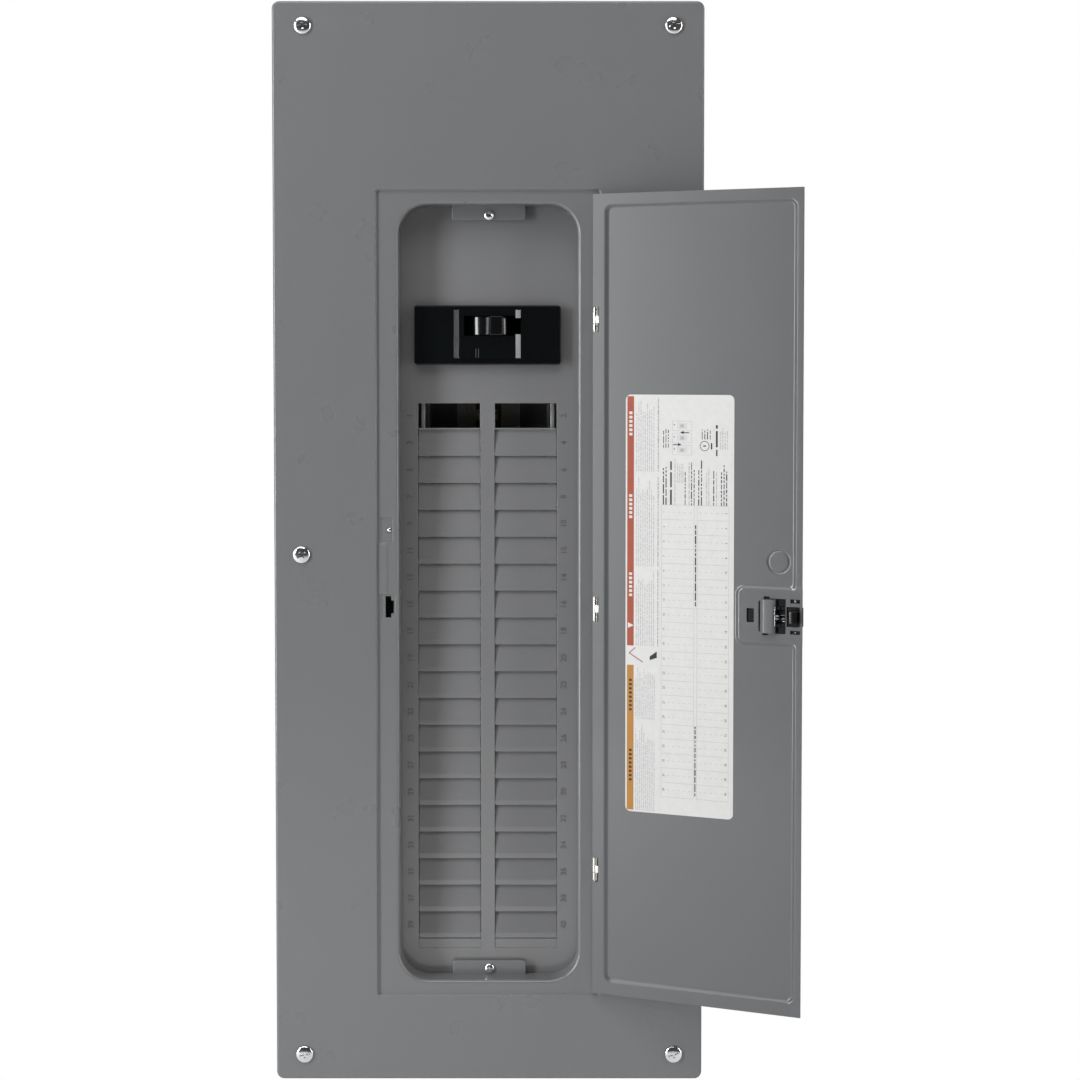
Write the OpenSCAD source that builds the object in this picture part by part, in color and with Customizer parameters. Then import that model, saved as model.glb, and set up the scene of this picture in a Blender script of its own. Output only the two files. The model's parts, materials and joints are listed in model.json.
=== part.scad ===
// Residential load center: a sheet-metal wall enclosure with a 40-circuit interior, a two-pole main
// breaker, a trim cover with a deadfront behind its opening, and a hinged door with a slide latch.
// Millimetres. +Z is up, +X is right seen from the front, and the front faces -Y.
// The origin is the centre of the enclosure's back, the face that goes against the wall.
// A depth is a distance from the wall face, measured towards the front.
// The door stands open, and its pieces are drawn shut and then swung about the hinge pins.

/* [Enclosure] */
// Width of the enclosure
box_w = 362; // [358:1:380]
// Height of the enclosure
box_h = 978; // [976:1:990]
// Depth of the enclosure
box_d = 95; // [95:0.5:98]
// Thickness of the enclosure's sheet
box_t = 1.5; // [1.2:0.1:1.8]
// Width of the front lips that take the cover screws
box_lip_w = 18; // [16:1:22]

/* [Cover] */
// Width of the trim cover
cover_w = 398; // [390:1:410]
// Height of the trim cover
cover_h = 1003; // [1000:1:1020]
// Thickness of the cover's sheet
cover_t = 1.5; // [1.2:0.1:1.6]
// Corner radius of the cover
cover_corner = 7; // [4:1:12]
// Depth of the edge turned back round the cover
cover_edge = 5; // [3:1:8]
// Depth of the recess that the door shuts into
recess_depth = 2.5; // [2.4:0.1:2.6]
// Depth of the lip turned in round the opening
opening_lip = 28.5; // [27:0.5:29]
// Corner radius of the opening
opening_corner = 27; // [20:1:32]

/* [Door] */
// Width of the door from the hinge pin to the free edge
door_reach = 202; // [200:0.5:202]
// Thickness of the door's sheet
door_t = 1.2; // [1:0.1:1.2]
// Angle that the door stands open
door_open = 155.5; // [0:0.5:168]
// Travel of the slide latch
latch_travel = 4; // [3:0.5:4]

/* [Interior] */
// Spacing of the branch breaker rows
row_pitch = 25.4; // [25.4:0.1:25.6]
// Number of rows, two circuits to a row
rows = 20; // [16:1:20]
// Width of one column of branch positions
column_w = 58.8; // [56:0.2:59]
// Width of the strip between the two columns
strip_w = 13.2; // [12:0.2:14]
// Depth of the deadfront behind the cover's front face
deadfront_drop = 30; // [30:0.5:31]
// Thickness of the deadfront's sheet
deadfront_t = 1.2; // [1:0.1:1.4]
// Tilt depth of each twist-out plate
twistout_step = 2.6; // [2:0.1:3]

/* [Main breaker] */
// Width of the breaker's nose
nose_w = 136; // [130:1:137]
// Angle of the handle from straight ahead, as it stands
handle_tilt = 9.8; // [8:0.1:10]

/* [Hidden] */
$fn = 48;
eps = 0.01;                    // overshoot of a cut past the face that it opens
seat_gap = 0.1;                // gap between pieces that seat on each other
work_gap = 0.3;                // gap between pieces that move past each other

cover_d = box_d + seat_gap + cover_t;          // depth of the cover's front face
recess_d = cover_d - recess_depth;             // depth of the recess floor's front face
recess_back_d = recess_d - cover_t;            // depth of the recess floor's back face
deadfront_d = cover_d - deadfront_drop;        // depth of the deadfront's front face
tab_d = cover_d - 24;                          // depth of the tabs that hold the deadfront

// Outlines on the cover, each as [left, right, bottom, top]
recess_box = [-104.2, 103.8, -422, 328.8];
opening_box = [-83.2, 83, -408.5, 315.6];
cover_screw_rows = [[170.7, 479], [173.7, -8.6], [172.8, -477.8]];
deadfront_screw_z = [306.8, -402.6];
tab_x = 34.5;                                  // half the width of a deadfront tab
tab_reach = 13;                                // how far a tab stands into the opening

// Interior, drawn about its own centre line and shifted as a whole
interior_x = -1.6;
row_top_z = 132.6;                             // top of the first row
row_bottom_z = row_top_z - rows * row_pitch;
column_in = strip_w / 2;
column_out = column_in + column_w;
pan_d = 9.5;                                   // depth of the pan's front face
pan_w = 236;
insulator_d = 22;                              // depth of the bus insulator's front face
bus_d = 25.3;                                  // depth of the bus bars' front face
stab_d = 42;                                   // depth of the stabs' tips
bolt_x = 21;                                   // place of the bolts that join the bus to the straps
bolt_z = 144;
neutral_x = 100;                               // distance of a neutral bar from the centre line
terminal_pitch = 12.7;
terminals = 20;
neutral_top_z = -130;
neutral_d = 38;                                // depth of the neutral bars' front face
strap_z = -409;                                // height of the strap that joins the neutral bars
ground_x = -150;
ground_z = -300;

// Main breaker
base_d = 52;                                   // depth of the seam between base and cover
shell_box = [-74, 74, 158, 262];
nose_box = [-nose_w / 2, nose_w / 2, 168.3, 222.6];
nose_d = cover_d - 22;                         // depth of the nose's front face
block_box = [-31.3, 31.3, 173.7, 218.8];
block_d = nose_d + 4;                          // depth of the raised block's front face
window_box = [-21.6, 25.9, 194.6, 213.2];
shell_t = 3;
handle_x = (window_box[0] + window_box[1]) / 2;
handle_z = (window_box[2] + window_box[3]) / 2;
handle_h = 17.4;
handle_d = 50;                                 // depth of the handle's pivot
drum_r = 26;
handle_tip_r = 40;                             // from the pivot to the handle's tip
pole_z = [176, 244];
crossbar_x = -38;
crossbar_d = 32;
lug_x = 45;
lug_bore_r = 7.2;
lug_box = [24, 28, 27.7];

// Door, drawn shut, with its free edge towards -X
hinge_x = 98.8;
hinge_d = cover_d + 2;
hinge_z = [209.4, -58.5, -302];
knuckle_r = 2.35;
knuckle_h = 6.8;
hinge_pin_r = 1.1;
door_back_d = recess_d + 0.6;                  // depth of the door flange's back face
door_step = 2;                                 // how far the door's field stands out of its flange
door_box = [hinge_x - door_reach, hinge_x + 0.9, -418.3, 324.5];
field_box = [door_box[0] + 7, hinge_x - 12.5, -404.5, 313];
field_back_d = door_back_d + door_step;
pad_step = 1.2;                                // how far the latch pad stands out of the field
pad_box = [hinge_x - 191, hinge_x - 139.5, -83, -34];
latch_z = -57.5;
latch_slot_x = [-96, -90.7, -88.3];            // far edge, near edge, near edge of the notch
label_box = [hinge_x - 136.9, hinge_x - 31.4, -244.6, 140.3];

// ---------------------------------------------------------------- shared shapes

// Points of a rectangle [left, right, bottom, top] with its corners rounded to r
function rounded(b, r, steps = 8) = [
    for (k = [0:3])
        let (cx = (k == 0 || k == 3) ? b[1] - r : b[0] + r, cz = k < 2 ? b[3] - r : b[2] + r)
            for (i = [0:steps])
                let (a = 90 * k + 90 * i / steps)
                    [cx + r * cos(a), cz + r * sin(a)]
];

// A rectangle [left, right, bottom, top] grown by g on every side
function grown(b, g) = [b[0] - g, b[1] + g, b[2] - g, b[3] + g];

function row_z(i) = row_top_z - row_pitch * (i + 0.5);

// A front-view outline made solid, from depth front_d back towards the wall by t
module slab(front_d, t) {
    translate([0, t - front_d, 0])
        rotate([90, 0, 0])
            linear_extrude(t)
                children();
}

// A box between two x, two depths and two heights
module block(x, d, z) {
    translate([x[0], -d[1], z[0]])
        cube([x[1] - x[0], d[1] - d[0], z[1] - z[0]]);
}

// A round bar along the depth, its front end at front_d
module depth_rod(x, z, front_d, length, r) {
    translate([x, length - front_d, z])
        rotate([90, 0, 0])
            cylinder(h = length, r = r);
}

// A pan-head screw along the depth, seated at seat_d, with a cross recess
module pan_screw(x, z, seat_d, head_r, head_h, shank_r, shank_l) {
    difference() {
        union() {
            depth_rod(x, z, seat_d + head_h, head_h, head_r);
            depth_rod(x, z, seat_d + eps, shank_l, shank_r);
        }
        for (a = [45, 135])
            translate([x, -seat_d - head_h, z])
                rotate([0, a, 0])
                    cube([head_r * 1.1, head_h, head_r * 0.22], center = true);
    }
}

// A slotted set screw along the depth
module set_screw(x, z, front_d, length, r) {
    difference() {
        depth_rod(x, z, front_d, length, r);
        translate([x, -front_d, z])
            cube([2.4 * r, 2, 0.45 * r], center = true);
    }
}

// The scored ring of a knockout, cut from a wall whose normal is +Z at z = 0
module knockout_ring(r) {
    score = 0.6;
    translate([0, 0, -score])
        difference() {
            cylinder(h = 2 * score, r = r);
            translate([0, 0, -eps])
                cylinder(h = 3 * score, r = r - 1);
        }
}

module interior() {
    translate([interior_x, 0, 0])
        children();
}

// Swings pieces drawn shut to where the door stands
module on_door() {
    translate([hinge_x, -hinge_d, 0])
        rotate([0, 0, door_open])
            translate([-hinge_x, hinge_d, 0])
                children();
}

// ---------------------------------------------------------------- enclosure

wall_hole = [254, 880];                        // spacing of the wall holes
stud_hole = [50, 760];                         // spacing of the stud holes in each side
wall_hole_r = 4;
stud_hole_r = 2.5;
knockouts = [[-145, 11], [-100, 14], [-48, 14], [100, 14], [145, 11]];

module box_wrap() {
    side = box_w / 2;
    inner = side - box_t;
    lip = side - box_lip_w;
    color("#77787a")
        difference() {
            translate([0, 0, -box_h / 2])
                linear_extrude(box_h)
                    polygon([[-side, 0], [side, 0], [side, -box_d], [lip, -box_d],
                        [lip, box_t - box_d], [inner, box_t - box_d], [inner, -box_t],
                        [-inner, -box_t], [-inner, box_t - box_d], [-lip, box_t - box_d],
                        [-lip, -box_d], [-side, -box_d]]);
            for (sx = [-1, 1], sz = [-1, 1])
                depth_rod(sx * wall_hole[0] / 2, sz * wall_hole[1] / 2, box_d / 2, box_d, wall_hole_r);
            for (sx = [-1, 1], sy = [-1, 1], sz = [-1, 1])
                translate([sx * side, -box_d / 2 + sy * stud_hole[0] / 2, sz * stud_hole[1] / 2])
                    rotate([0, 90, 0])
                        cylinder(h = 4 * box_t, r = stud_hole_r, center = true);
            for (row = cover_screw_rows, s = [-1, 1])
                depth_rod(s * row[0], row[1], box_d + 1, 4 * box_t, 2.1);
            for (s = [-1, 1], z = [-330, 330])
                translate([s * side, -box_d / 2, z])
                    rotate([0, s * 90, 0])
                        knockout_ring(14);
        }
}

module end_wall() {
    half = box_w / 2 - box_t - seat_gap;
    top = box_h / 2;
    back_d = box_t + seat_gap;
    flange = 14;
    front_half = box_w / 2 - box_lip_w - work_gap;
    color("#77787a")
        difference() {
            union() {
                block([-half, half], [back_d, box_d - box_t - seat_gap], [top - box_t, top]);
                block([-half, half], [back_d, back_d + box_t], [top - flange, top]);
                block([-front_half, front_half], [box_d - 2 * box_t, box_d], [top - box_t, top]);
                block([-front_half, front_half], [box_d - box_t, box_d], [top - flange, top]);
            }
            for (k = knockouts)
                translate([k[0], -box_d / 2, top])
                    knockout_ring(k[1]);
            for (r = [22, 30])
                translate([25, -box_d / 2, top])
                    knockout_ring(r);
        }
}

module top_end_wall() {
    end_wall();
}

module bottom_end_wall() {
    mirror([0, 0, 1])
        end_wall();
}

ground_terminals = 12;
ground_l = ground_terminals * terminal_pitch + 30;

function ground_terminal_z(i) = ground_z + (i - (ground_terminals - 1) / 2) * terminal_pitch;

module ground_bar() {
    bar = 5.5;
    color("#a9abad")
        difference() {
            union() {
                block([ground_x - bar, ground_x + bar], [8, 18],
                    [ground_z - ground_l / 2, ground_z + ground_l / 2]);
                for (s = [-1, 1])
                    depth_rod(ground_x, ground_z + s * (ground_l / 2 - 7), 9, 9 - box_t - seat_gap, 5);
            }
            for (i = [0:ground_terminals - 1]) {
                translate([ground_x, -13, ground_terminal_z(i)])
                    rotate([0, 90, 0])
                        cylinder(h = 20, r = 2.4, center = true);
                depth_rod(ground_x, ground_terminal_z(i), 19, 6, 2.2);
            }
            for (s = [-1, 1])
                depth_rod(ground_x, ground_z + s * (ground_l / 2 - 7), 30, 40, 2.3);
        }
}

module ground_bar_screws() {
    color("#c8c8c6")
        for (i = [0:ground_terminals - 1])
            set_screw(ground_x, ground_terminal_z(i), 19.5, 4.2, 2.1);
}

module ground_mount_screws() {
    color("#c8c8c6")
        for (s = [-1, 1])
            pan_screw(ground_x, ground_z + s * (ground_l / 2 - 7), 18 + seat_gap, 4, 2.4, 2.2, 16);
}

// ---------------------------------------------------------------- interior frame and bus

pan_box = [-pan_w / 2, pan_w / 2, -424, 272];
pan_foot = [92, 250];                          // half width and height of the pan's upper feet

module interior_pan() {
    flange = 8;
    t = 1.5;
    color("#b9bab8")
        interior()
            difference() {
                union() {
                    slab(pan_d, t)
                        polygon(rounded(pan_box, 4));
                    for (s = [-1, 1])
                        block([s * pan_w / 2 - t / 2 - s * t / 2, s * pan_w / 2 + t / 2 - s * t / 2],
                            [pan_d - t, pan_d + flange], [pan_box[2] + 6, pan_box[3] - 6]);
                    for (x = [-pan_foot[0], pan_foot[0]], z = [-412, pan_foot[1]])
                        depth_rod(x, z, pan_d - t + eps, pan_d - t - box_t - seat_gap, 9);
                }
                for (x = [-pan_foot[0], pan_foot[0]], z = [-412, pan_foot[1]])
                    depth_rod(x, z, 20, 30, 2.6);
                depth_rod(neutral_x, neutral_top_z, 20, 30, 2.9);
            }
}

module interior_screws() {
    color("#c8c8c6")
        interior()
            for (x = [-pan_foot[0], pan_foot[0]], z = [-412, pan_foot[1]])
                pan_screw(x, z, pan_d + seat_gap, 5, 2.6, 2.5, 7.5);
}

module bus_insulator() {
    half = 56;
    color("#1b1c1d")
        interior()
            difference() {
                block([-half, half], [pan_d + seat_gap, insulator_d], [row_bottom_z - 6, 150]);
                for (i = [0:rows - 1], s = [-1, 1])
                    block([s * 44 - 9, s * 44 + 9], [insulator_d - 4, insulator_d + 1],
                        [row_z(i) - 9, row_z(i) + 9]);
                for (s = [-1, 1])
                    depth_rod(s * bolt_x, bolt_z, insulator_d + 1, 5, 3.3);
            }
}

module bus_barrier() {
    half = 6.5;
    foot = 5;
    color("#161718")
        interior() {
            block([-half, half], [stab_d + work_gap, stab_d + 5], [row_bottom_z - 4, row_top_z]);
            for (i = [0:rows - 1])
                block([-half, half], [insulator_d + seat_gap, stab_d + 1],
                    [row_z(i) - row_pitch / 2 - foot, row_z(i) - row_pitch / 2 + foot]);
        }
}

// One bus bar on the side s, with a cross finger and a stab at every second row from first
module bus_bar(s, first) {
    near = 12;
    far = 30;
    stab_half = 9;
    color("#c3c4c2")
        interior() {
            difference() {
                block(s > 0 ? [near, far] : [-far, -near], [insulator_d + seat_gap, bus_d],
                    [row_bottom_z, 152]);
                depth_rod(s * bolt_x, bolt_z, bus_d + 1, 10, 3.3);
            }
            for (i = [first:2:rows - 1]) {
                block(s > 0 ? [-stab_half, near + 1] : [-near - 1, stab_half],
                    [insulator_d + seat_gap, bus_d], [row_z(i) - 5, row_z(i) + 5]);
                block([-stab_half, stab_half], [bus_d - 1, stab_d], [row_z(i) - 1.2, row_z(i) + 1.2]);
            }
        }
}

module bus_bar_a() {
    bus_bar(-1, 0);
}

module bus_bar_b() {
    bus_bar(1, 1);
}

module bus_bolts() {
    color("#d0d0cc")
        interior()
            for (s = [-1, 1]) {
                translate([s * bolt_x, -bus_d - 3 - 2 * seat_gap, bolt_z])
                    rotate([90, 0, 0])
                        cylinder(h = 4, r = 5.6, $fn = 6);
                depth_rod(s * bolt_x, bolt_z, bus_d + 3.3, 9, 3);
            }
}

// A sheet rail that the outer ends of the branch breakers hook onto
module branch_rail(s) {
    web_x = 59.3;
    t = 1.2;
    top_d = 54;
    hook = 3.5;
    color("#c9c9c6")
        interior()
            mirror([s < 0 ? 1 : 0, 0, 0])
                difference() {
                    translate([0, 0, row_bottom_z - 4])
                        linear_extrude(row_top_z - row_bottom_z + 8)
                            polygon([[web_x, -pan_d - seat_gap], [web_x + 12, -pan_d - seat_gap],
                                [web_x + 12, -pan_d - seat_gap - t], [web_x + t, -pan_d - seat_gap - t],
                                [web_x + t, t - top_d], [web_x + hook, t - top_d],
                                [web_x + hook, -top_d], [web_x, -top_d]]);
                    for (i = [0:rows - 1])
                        block([web_x - 1, web_x + 2], [top_d - 16, top_d - 8],
                            [row_z(i) - 6, row_z(i) + 6]);
                }
}

module branch_rail_left() {
    branch_rail(-1);
}

module branch_rail_right() {
    branch_rail(1);
}

// ---------------------------------------------------------------- neutral

neutral_l = terminals * terminal_pitch + 24;
neutral_bottom_z = neutral_top_z - neutral_l;

function terminal_z(i) = neutral_top_z - 16 - terminal_pitch * (i + 0.5);

module neutral_bar(s) {
    half = 5.5;
    color("#b4b6b7")
        interior()
            difference() {
                block([s * neutral_x - half, s * neutral_x + half], [26.1, neutral_d],
                    [neutral_bottom_z, neutral_top_z + 8]);
                for (i = [0:terminals - 1]) {
                    translate([s * neutral_x, -31, terminal_z(i)])
                        rotate([0, 90, 0])
                            cylinder(h = 20, r = 2.4, center = true);
                    depth_rod(s * neutral_x, terminal_z(i), neutral_d + 1, 8, 2.6);
                }
                depth_rod(s * neutral_x, neutral_top_z, neutral_d + 1, 20, 2.6);
                depth_rod(s * neutral_x, neutral_bottom_z + 8, neutral_d + 1, 20, 2.6);
            }
}

module neutral_bar_left() {
    neutral_bar(-1);
}

module neutral_bar_right() {
    neutral_bar(1);
}

module neutral_insulators() {
    color("#d9d7cf")
        interior()
            for (s = [-1, 1], z = [neutral_top_z - 24, neutral_bottom_z + 34])
                block([s * neutral_x - 8, s * neutral_x + 8], [pan_d + seat_gap, 26], [z - 9, z + 9]);
}

module neutral_screws() {
    color("#c8c8c6")
        interior()
            for (s = [-1, 1], i = [0:terminals - 1])
                set_screw(s * neutral_x, terminal_z(i), neutral_d + 1.2, 4.4, 2.5);
}

module neutral_strap() {
    z = neutral_bottom_z + 8;
    color("#b4b6b7")
        interior()
            difference() {
                block([-neutral_x - 6, neutral_x + 6], [23, 26], [z - 7, z + 7]);
                for (s = [-1, 1])
                    depth_rod(s * neutral_x, z, 30, 20, 2.6);
            }
}

neutral_lug_z = neutral_top_z + 24;

module neutral_lug() {
    color("#b4b6b7")
        interior()
            difference() {
                union() {
                    block([-neutral_x - 11, -neutral_x + 11], [26.1, 50],
                        [neutral_lug_z - 13, neutral_lug_z + 13]);
                    block([-neutral_x - 5.5, -neutral_x + 5.5], [neutral_d + seat_gap, neutral_d + 3],
                        [neutral_top_z - 5, neutral_lug_z]);
                }
                translate([-neutral_x, -38, neutral_lug_z])
                    cylinder(h = 40, r = lug_bore_r, center = true);
                depth_rod(-neutral_x, neutral_lug_z, 60, 18, 5.1);
                depth_rod(-neutral_x, neutral_top_z, 60, 40, 2.6);
            }
}

module neutral_lug_screw() {
    color("#c8c8c6")
        interior() {
            hex_set_screw(-neutral_x, neutral_lug_z, 52.5, 6, 5);
            pan_screw(-neutral_x, neutral_top_z, neutral_d + 3 + seat_gap, 4.4, 2.4, 2.5, 14);
        }
}

// A set screw along the depth with a hexagon socket
module hex_set_screw(x, z, front_d, length, r) {
    difference() {
        depth_rod(x, z, front_d, length, r);
        translate([x, 3.5 - front_d, z])
            rotate([90, 0, 0])
                cylinder(h = 4, r = r * 0.6, $fn = 6);
    }
}

module bonding_screw() {
    color("#3f8f55")
        interior()
            pan_screw(neutral_x, neutral_top_z, neutral_d + seat_gap, 4.6, 2.6, 2.5, 35);
}

// ---------------------------------------------------------------- main breaker

boss_z = [187, 221];                           // heights of the two blocks that hold the handle's pin

module breaker_base() {
    inner = grown(shell_box, -shell_t);
    floor_d = 14 + shell_t;
    color("#0d0f11")
        interior()
            difference() {
                slab(base_d, base_d - 14)
                    polygon(rounded(shell_box, 3));
                slab(base_d + 1, base_d + 1 - floor_d)
                    difference() {
                        polygon(rounded(inner, 2));
                        for (z = boss_z)
                            translate([handle_x - 6, z - 3.5])
                                square([12, 7]);
                        for (z = [shell_box[2] + 5, shell_box[3] - 5])
                            translate([crossbar_x - 5, z - 5])
                                square([10, 10]);
                        for (sx = [-1, 1], sz = [shell_box[2] + 7, shell_box[3] - 7])
                            translate([sx * 67, sz])
                                circle(5);
                    }
                translate([handle_x, -handle_d, handle_z])
                    cylinder(h = 45, r = 2.02, center = true);
                translate([crossbar_x, -crossbar_d, (shell_box[2] + shell_box[3]) / 2])
                    cylinder(h = 97, r = 1.52, center = true);
                for (sx = [-1, 1], sz = [shell_box[2] + 7, shell_box[3] - 7])
                    depth_rod(sx * 67, sz, base_d + 1, 20, 1.8);
                for (s = [-1, 1]) {
                    block([s * lug_x - 8.2, s * lug_x + 8.2], [floor_d, 19.4], [251, 263]);
                    block([s * bolt_x - 6.2, s * bolt_x + 6.2], [25.2, 29], [157, 163]);
                }
            }
}

module breaker_cover() {
    wall_d = 62;
    color("#0d0f11")
        interior()
            difference() {
                union() {
                    slab(wall_d, wall_d - base_d - seat_gap)
                        polygon(rounded(shell_box, 3));
                    slab(nose_d, nose_d - wall_d + 1)
                        polygon(rounded(nose_box, 2));
                    translate([0, 0, block_box[2]])
                        linear_extrude(block_box[3] - block_box[2])
                            polygon([[block_box[0], 1 - nose_d], [block_box[1], 1 - nose_d],
                                [block_box[1], -nose_d], [block_box[1] - 5, -block_d],
                                [block_box[0] + 5, -block_d], [block_box[0], -nose_d]]);
                }
                slab(wall_d - shell_t, 12)
                    polygon(rounded(grown(shell_box, -shell_t), 2));
                slab(nose_d - shell_t, 12)
                    polygon(rounded(grown(nose_box, -shell_t), 2));
                translate([handle_x, -handle_d, window_box[2]])
                    cylinder(h = window_box[3] - window_box[2], r = drum_r + 0.4);
                block([window_box[0], window_box[1]], [base_d, block_d + 1],
                    [window_box[2], window_box[3]]);
                block([window_box[1] - eps, block_box[1] + 1], [nose_d, block_d + 1],
                    [window_box[2], window_box[3]]);
                for (sx = [-1, 1], sz = [shell_box[2] + 7, shell_box[3] - 7])
                    depth_rod(sx * 67, sz, wall_d + 1, 20, 2.2);
            }
}

module breaker_screws() {
    color("#c8c8c6")
        interior()
            for (sx = [-1, 1], sz = [shell_box[2] + 7, shell_box[3] - 7])
                pan_screw(sx * 67, sz, 62 + seat_gap, 3, 2, 1.7, 22);
}

module main_handle() {
    root_half = 8;
    tip_half = 6.4;
    color("#121416")
        interior()
            translate([handle_x, -handle_d, handle_z - handle_h / 2])
                rotate([0, 0, handle_tilt])
                    difference() {
                        union() {
                            intersection() {
                                cylinder(h = handle_h, r = drum_r);
                                translate([-drum_r, -drum_r, 0])
                                    cube([2 * drum_r, drum_r + 6, handle_h]);
                            }
                            linear_extrude(handle_h)
                                polygon([[-root_half, 1 - drum_r], [root_half, 1 - drum_r],
                                    [tip_half, 1 - handle_tip_r], [tip_half - 1, -handle_tip_r],
                                    [1 - tip_half, -handle_tip_r], [-tip_half, 1 - handle_tip_r]]);
                        }
                        translate([0, 0, -1])
                            cylinder(h = handle_h + 2, r = 2.06);
                    }
}

module handle_pin() {
    color("#c8c8c6")
        interior()
            translate([handle_x, -handle_d, handle_z])
                cylinder(h = 40, r = 2, center = true);
}

module line_lug(s) {
    front_d = 20.5 + lug_box[1];
    bottom = shell_box[3] + work_gap;
    color("#b4b6b7")
        interior()
            difference() {
                block([s * lug_x - lug_box[0] / 2, s * lug_x + lug_box[0] / 2], [20.5, front_d],
                    [bottom, bottom + lug_box[2]]);
                translate([s * lug_x, -34.5, bottom - 1])
                    cylinder(h = lug_box[2] + 2, r = lug_bore_r);
                depth_rod(s * lug_x, bottom + lug_box[2] / 2, front_d + 1, 12, 5.1);
            }
}

module line_lug_left() {
    line_lug(-1);
}

module line_lug_right() {
    line_lug(1);
}

module lug_screws() {
    color("#c8c8c6")
        interior()
            for (s = [-1, 1])
                hex_set_screw(s * lug_x, shell_box[3] + work_gap + lug_box[2] / 2, 51, 7, 5);
}

// A strap from the breaker's load side down over the head of a bus bar
module load_strap(s) {
    color("#b87a4b")
        interior()
            difference() {
                block([s * bolt_x - 6, s * bolt_x + 6], [bus_d + seat_gap, bus_d + 3], [134, 168]);
                depth_rod(s * bolt_x, bolt_z, bus_d + 5, 10, 3.3);
            }
}

module load_strap_left() {
    load_strap(-1);
}

module load_strap_right() {
    load_strap(1);
}

contact_x = 0;

module fixed_contacts() {
    d = [17.1, 19.1];
    color("#b87a4b")
        interior() {
            block([lug_x - 8, lug_x + 8], d, [pole_z[1] - 4, shell_box[3] + 24]);
            block([contact_x - 5, lug_x], d, [pole_z[1] - 4, pole_z[1] + 4]);
            block([-lug_x - 8, -lug_x + 8], d, [pole_z[0] - 4, shell_box[3] + 24]);
            block([-lug_x, contact_x + 5], d, [pole_z[0] - 4, pole_z[0] + 4]);
            for (z = pole_z)
                depth_rod(contact_x, z, 21, 2.5, 3.2);
        }
}

module contact_crossbar() {
    z = [shell_box[2] + 11, shell_box[3] - 11];
    color("#5a3424")
        interior()
            difference() {
                translate([crossbar_x, -crossbar_d, z[0]])
                    cylinder(h = z[1] - z[0], r = 6);
                translate([crossbar_x, -crossbar_d, z[0] - 1])
                    cylinder(h = z[1] - z[0] + 2, r = 1.57);
                for (p = pole_z)
                    block([crossbar_x - 3.1, crossbar_x + 10], [23.9, 29.1], [p - 3.6, p + 3.6]);
            }
}

module contact_arms() {
    color("#b87a4b")
        interior()
            for (p = pole_z) {
                block([crossbar_x - 3, contact_x + 4], [24, 29], [p - 3.5, p + 3.5]);
                depth_rod(contact_x, p, 25, 3.7, 3.2);
            }
}

module crossbar_pin() {
    color("#c8c8c6")
        interior()
            translate([crossbar_x, -crossbar_d, (shell_box[2] + shell_box[3]) / 2])
                cylinder(h = 94, r = 1.5, center = true);
}

module arc_chutes() {
    plates = 6;
    color("#8d9092")
        interior()
            for (p = pole_z, i = [0:plates - 1])
                block([contact_x + 8, contact_x + 24], [24 + i * 4, 25.2 + i * 4], [p - 7, p + 7]);
}

// ---------------------------------------------------------------- cover and deadfront

module cover_panel() {
    outline = [-cover_w / 2, cover_w / 2, -cover_h / 2, cover_h / 2];
    color("#78797a")
        difference() {
            union() {
                difference() {
                    slab(cover_d, cover_edge)
                        polygon(rounded(outline, cover_corner));
                    slab(cover_d - cover_t, cover_edge)
                        polygon(rounded(grown(outline, -cover_t), cover_corner - cover_t));
                }
                slab(cover_d, recess_depth + cover_t)
                    polygon(rounded(grown(recess_box, cover_t), 4));
            }
            slab(cover_d + 1, recess_depth + 1)
                polygon(rounded(recess_box, 2.5));
            slab(cover_d + 1, opening_lip)
                polygon(rounded(opening_box, opening_corner));
            for (row = cover_screw_rows, s = [-1, 1])
                depth_rod(s * row[0], row[1], cover_d + 1, 10, 2.5);
            for (z = hinge_z)
                block([hinge_x + 0.5, hinge_x + 2.4], [recess_back_d - 1, recess_d + 1],
                    [z - 10.8, z + 10.8]);
            latch_slot();
            depth_rod(-92, 14.1, cover_d, 10, 2.5);
            block([-100.5, -89], [recess_d - 0.8, recess_d + 1], [2.4, 25.7]);
            block([-100.5, -85.5], [recess_d - 0.8, recess_d + 1], [-68.5, -45.7]);
        }
}

// The slot that the latch hooks into, wider over the notch that the hook passes through
module latch_slot() {
    d = [recess_back_d - 1, recess_d + 1];
    block([latch_slot_x[0], latch_slot_x[1]], d, [latch_z - 10, latch_z + 10]);
    block([latch_slot_x[0], latch_slot_x[2]], d, [latch_z - 6, latch_z + 6]);
}

// The part of the lip behind the opening's edge that lies between two heights
module lip_part(low_z, high_z) {
    front_d = recess_back_d - seat_gap;
    depth = front_d - (cover_d - opening_lip);
    color("#78797a")
        intersection() {
            difference() {
                slab(front_d, depth)
                    polygon(rounded(grown(opening_box, cover_t), opening_corner + cover_t));
                slab(front_d + 1, depth + 2)
                    polygon(rounded(opening_box, opening_corner));
            }
            block([-cover_w / 2, cover_w / 2], [0, cover_d], [low_z, high_z]);
        }
}

// A straight side of the lip, from one x to another
module lip_side(x) {
    color("#78797a")
        block(x, [cover_d - opening_lip, recess_back_d - seat_gap],
            [opening_box[2] + opening_corner, opening_box[3] - opening_corner]);
}

module lip_left() {
    lip_side([opening_box[0] - cover_t, opening_box[0]]);
}

module lip_right() {
    lip_side([opening_box[1], opening_box[1] + cover_t]);
}

module lip_top() {
    lip_part(opening_box[3] - opening_corner + seat_gap, cover_h / 2);
}

module lip_bottom() {
    lip_part(-cover_h / 2, opening_box[2] + opening_corner - seat_gap);
}

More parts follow.
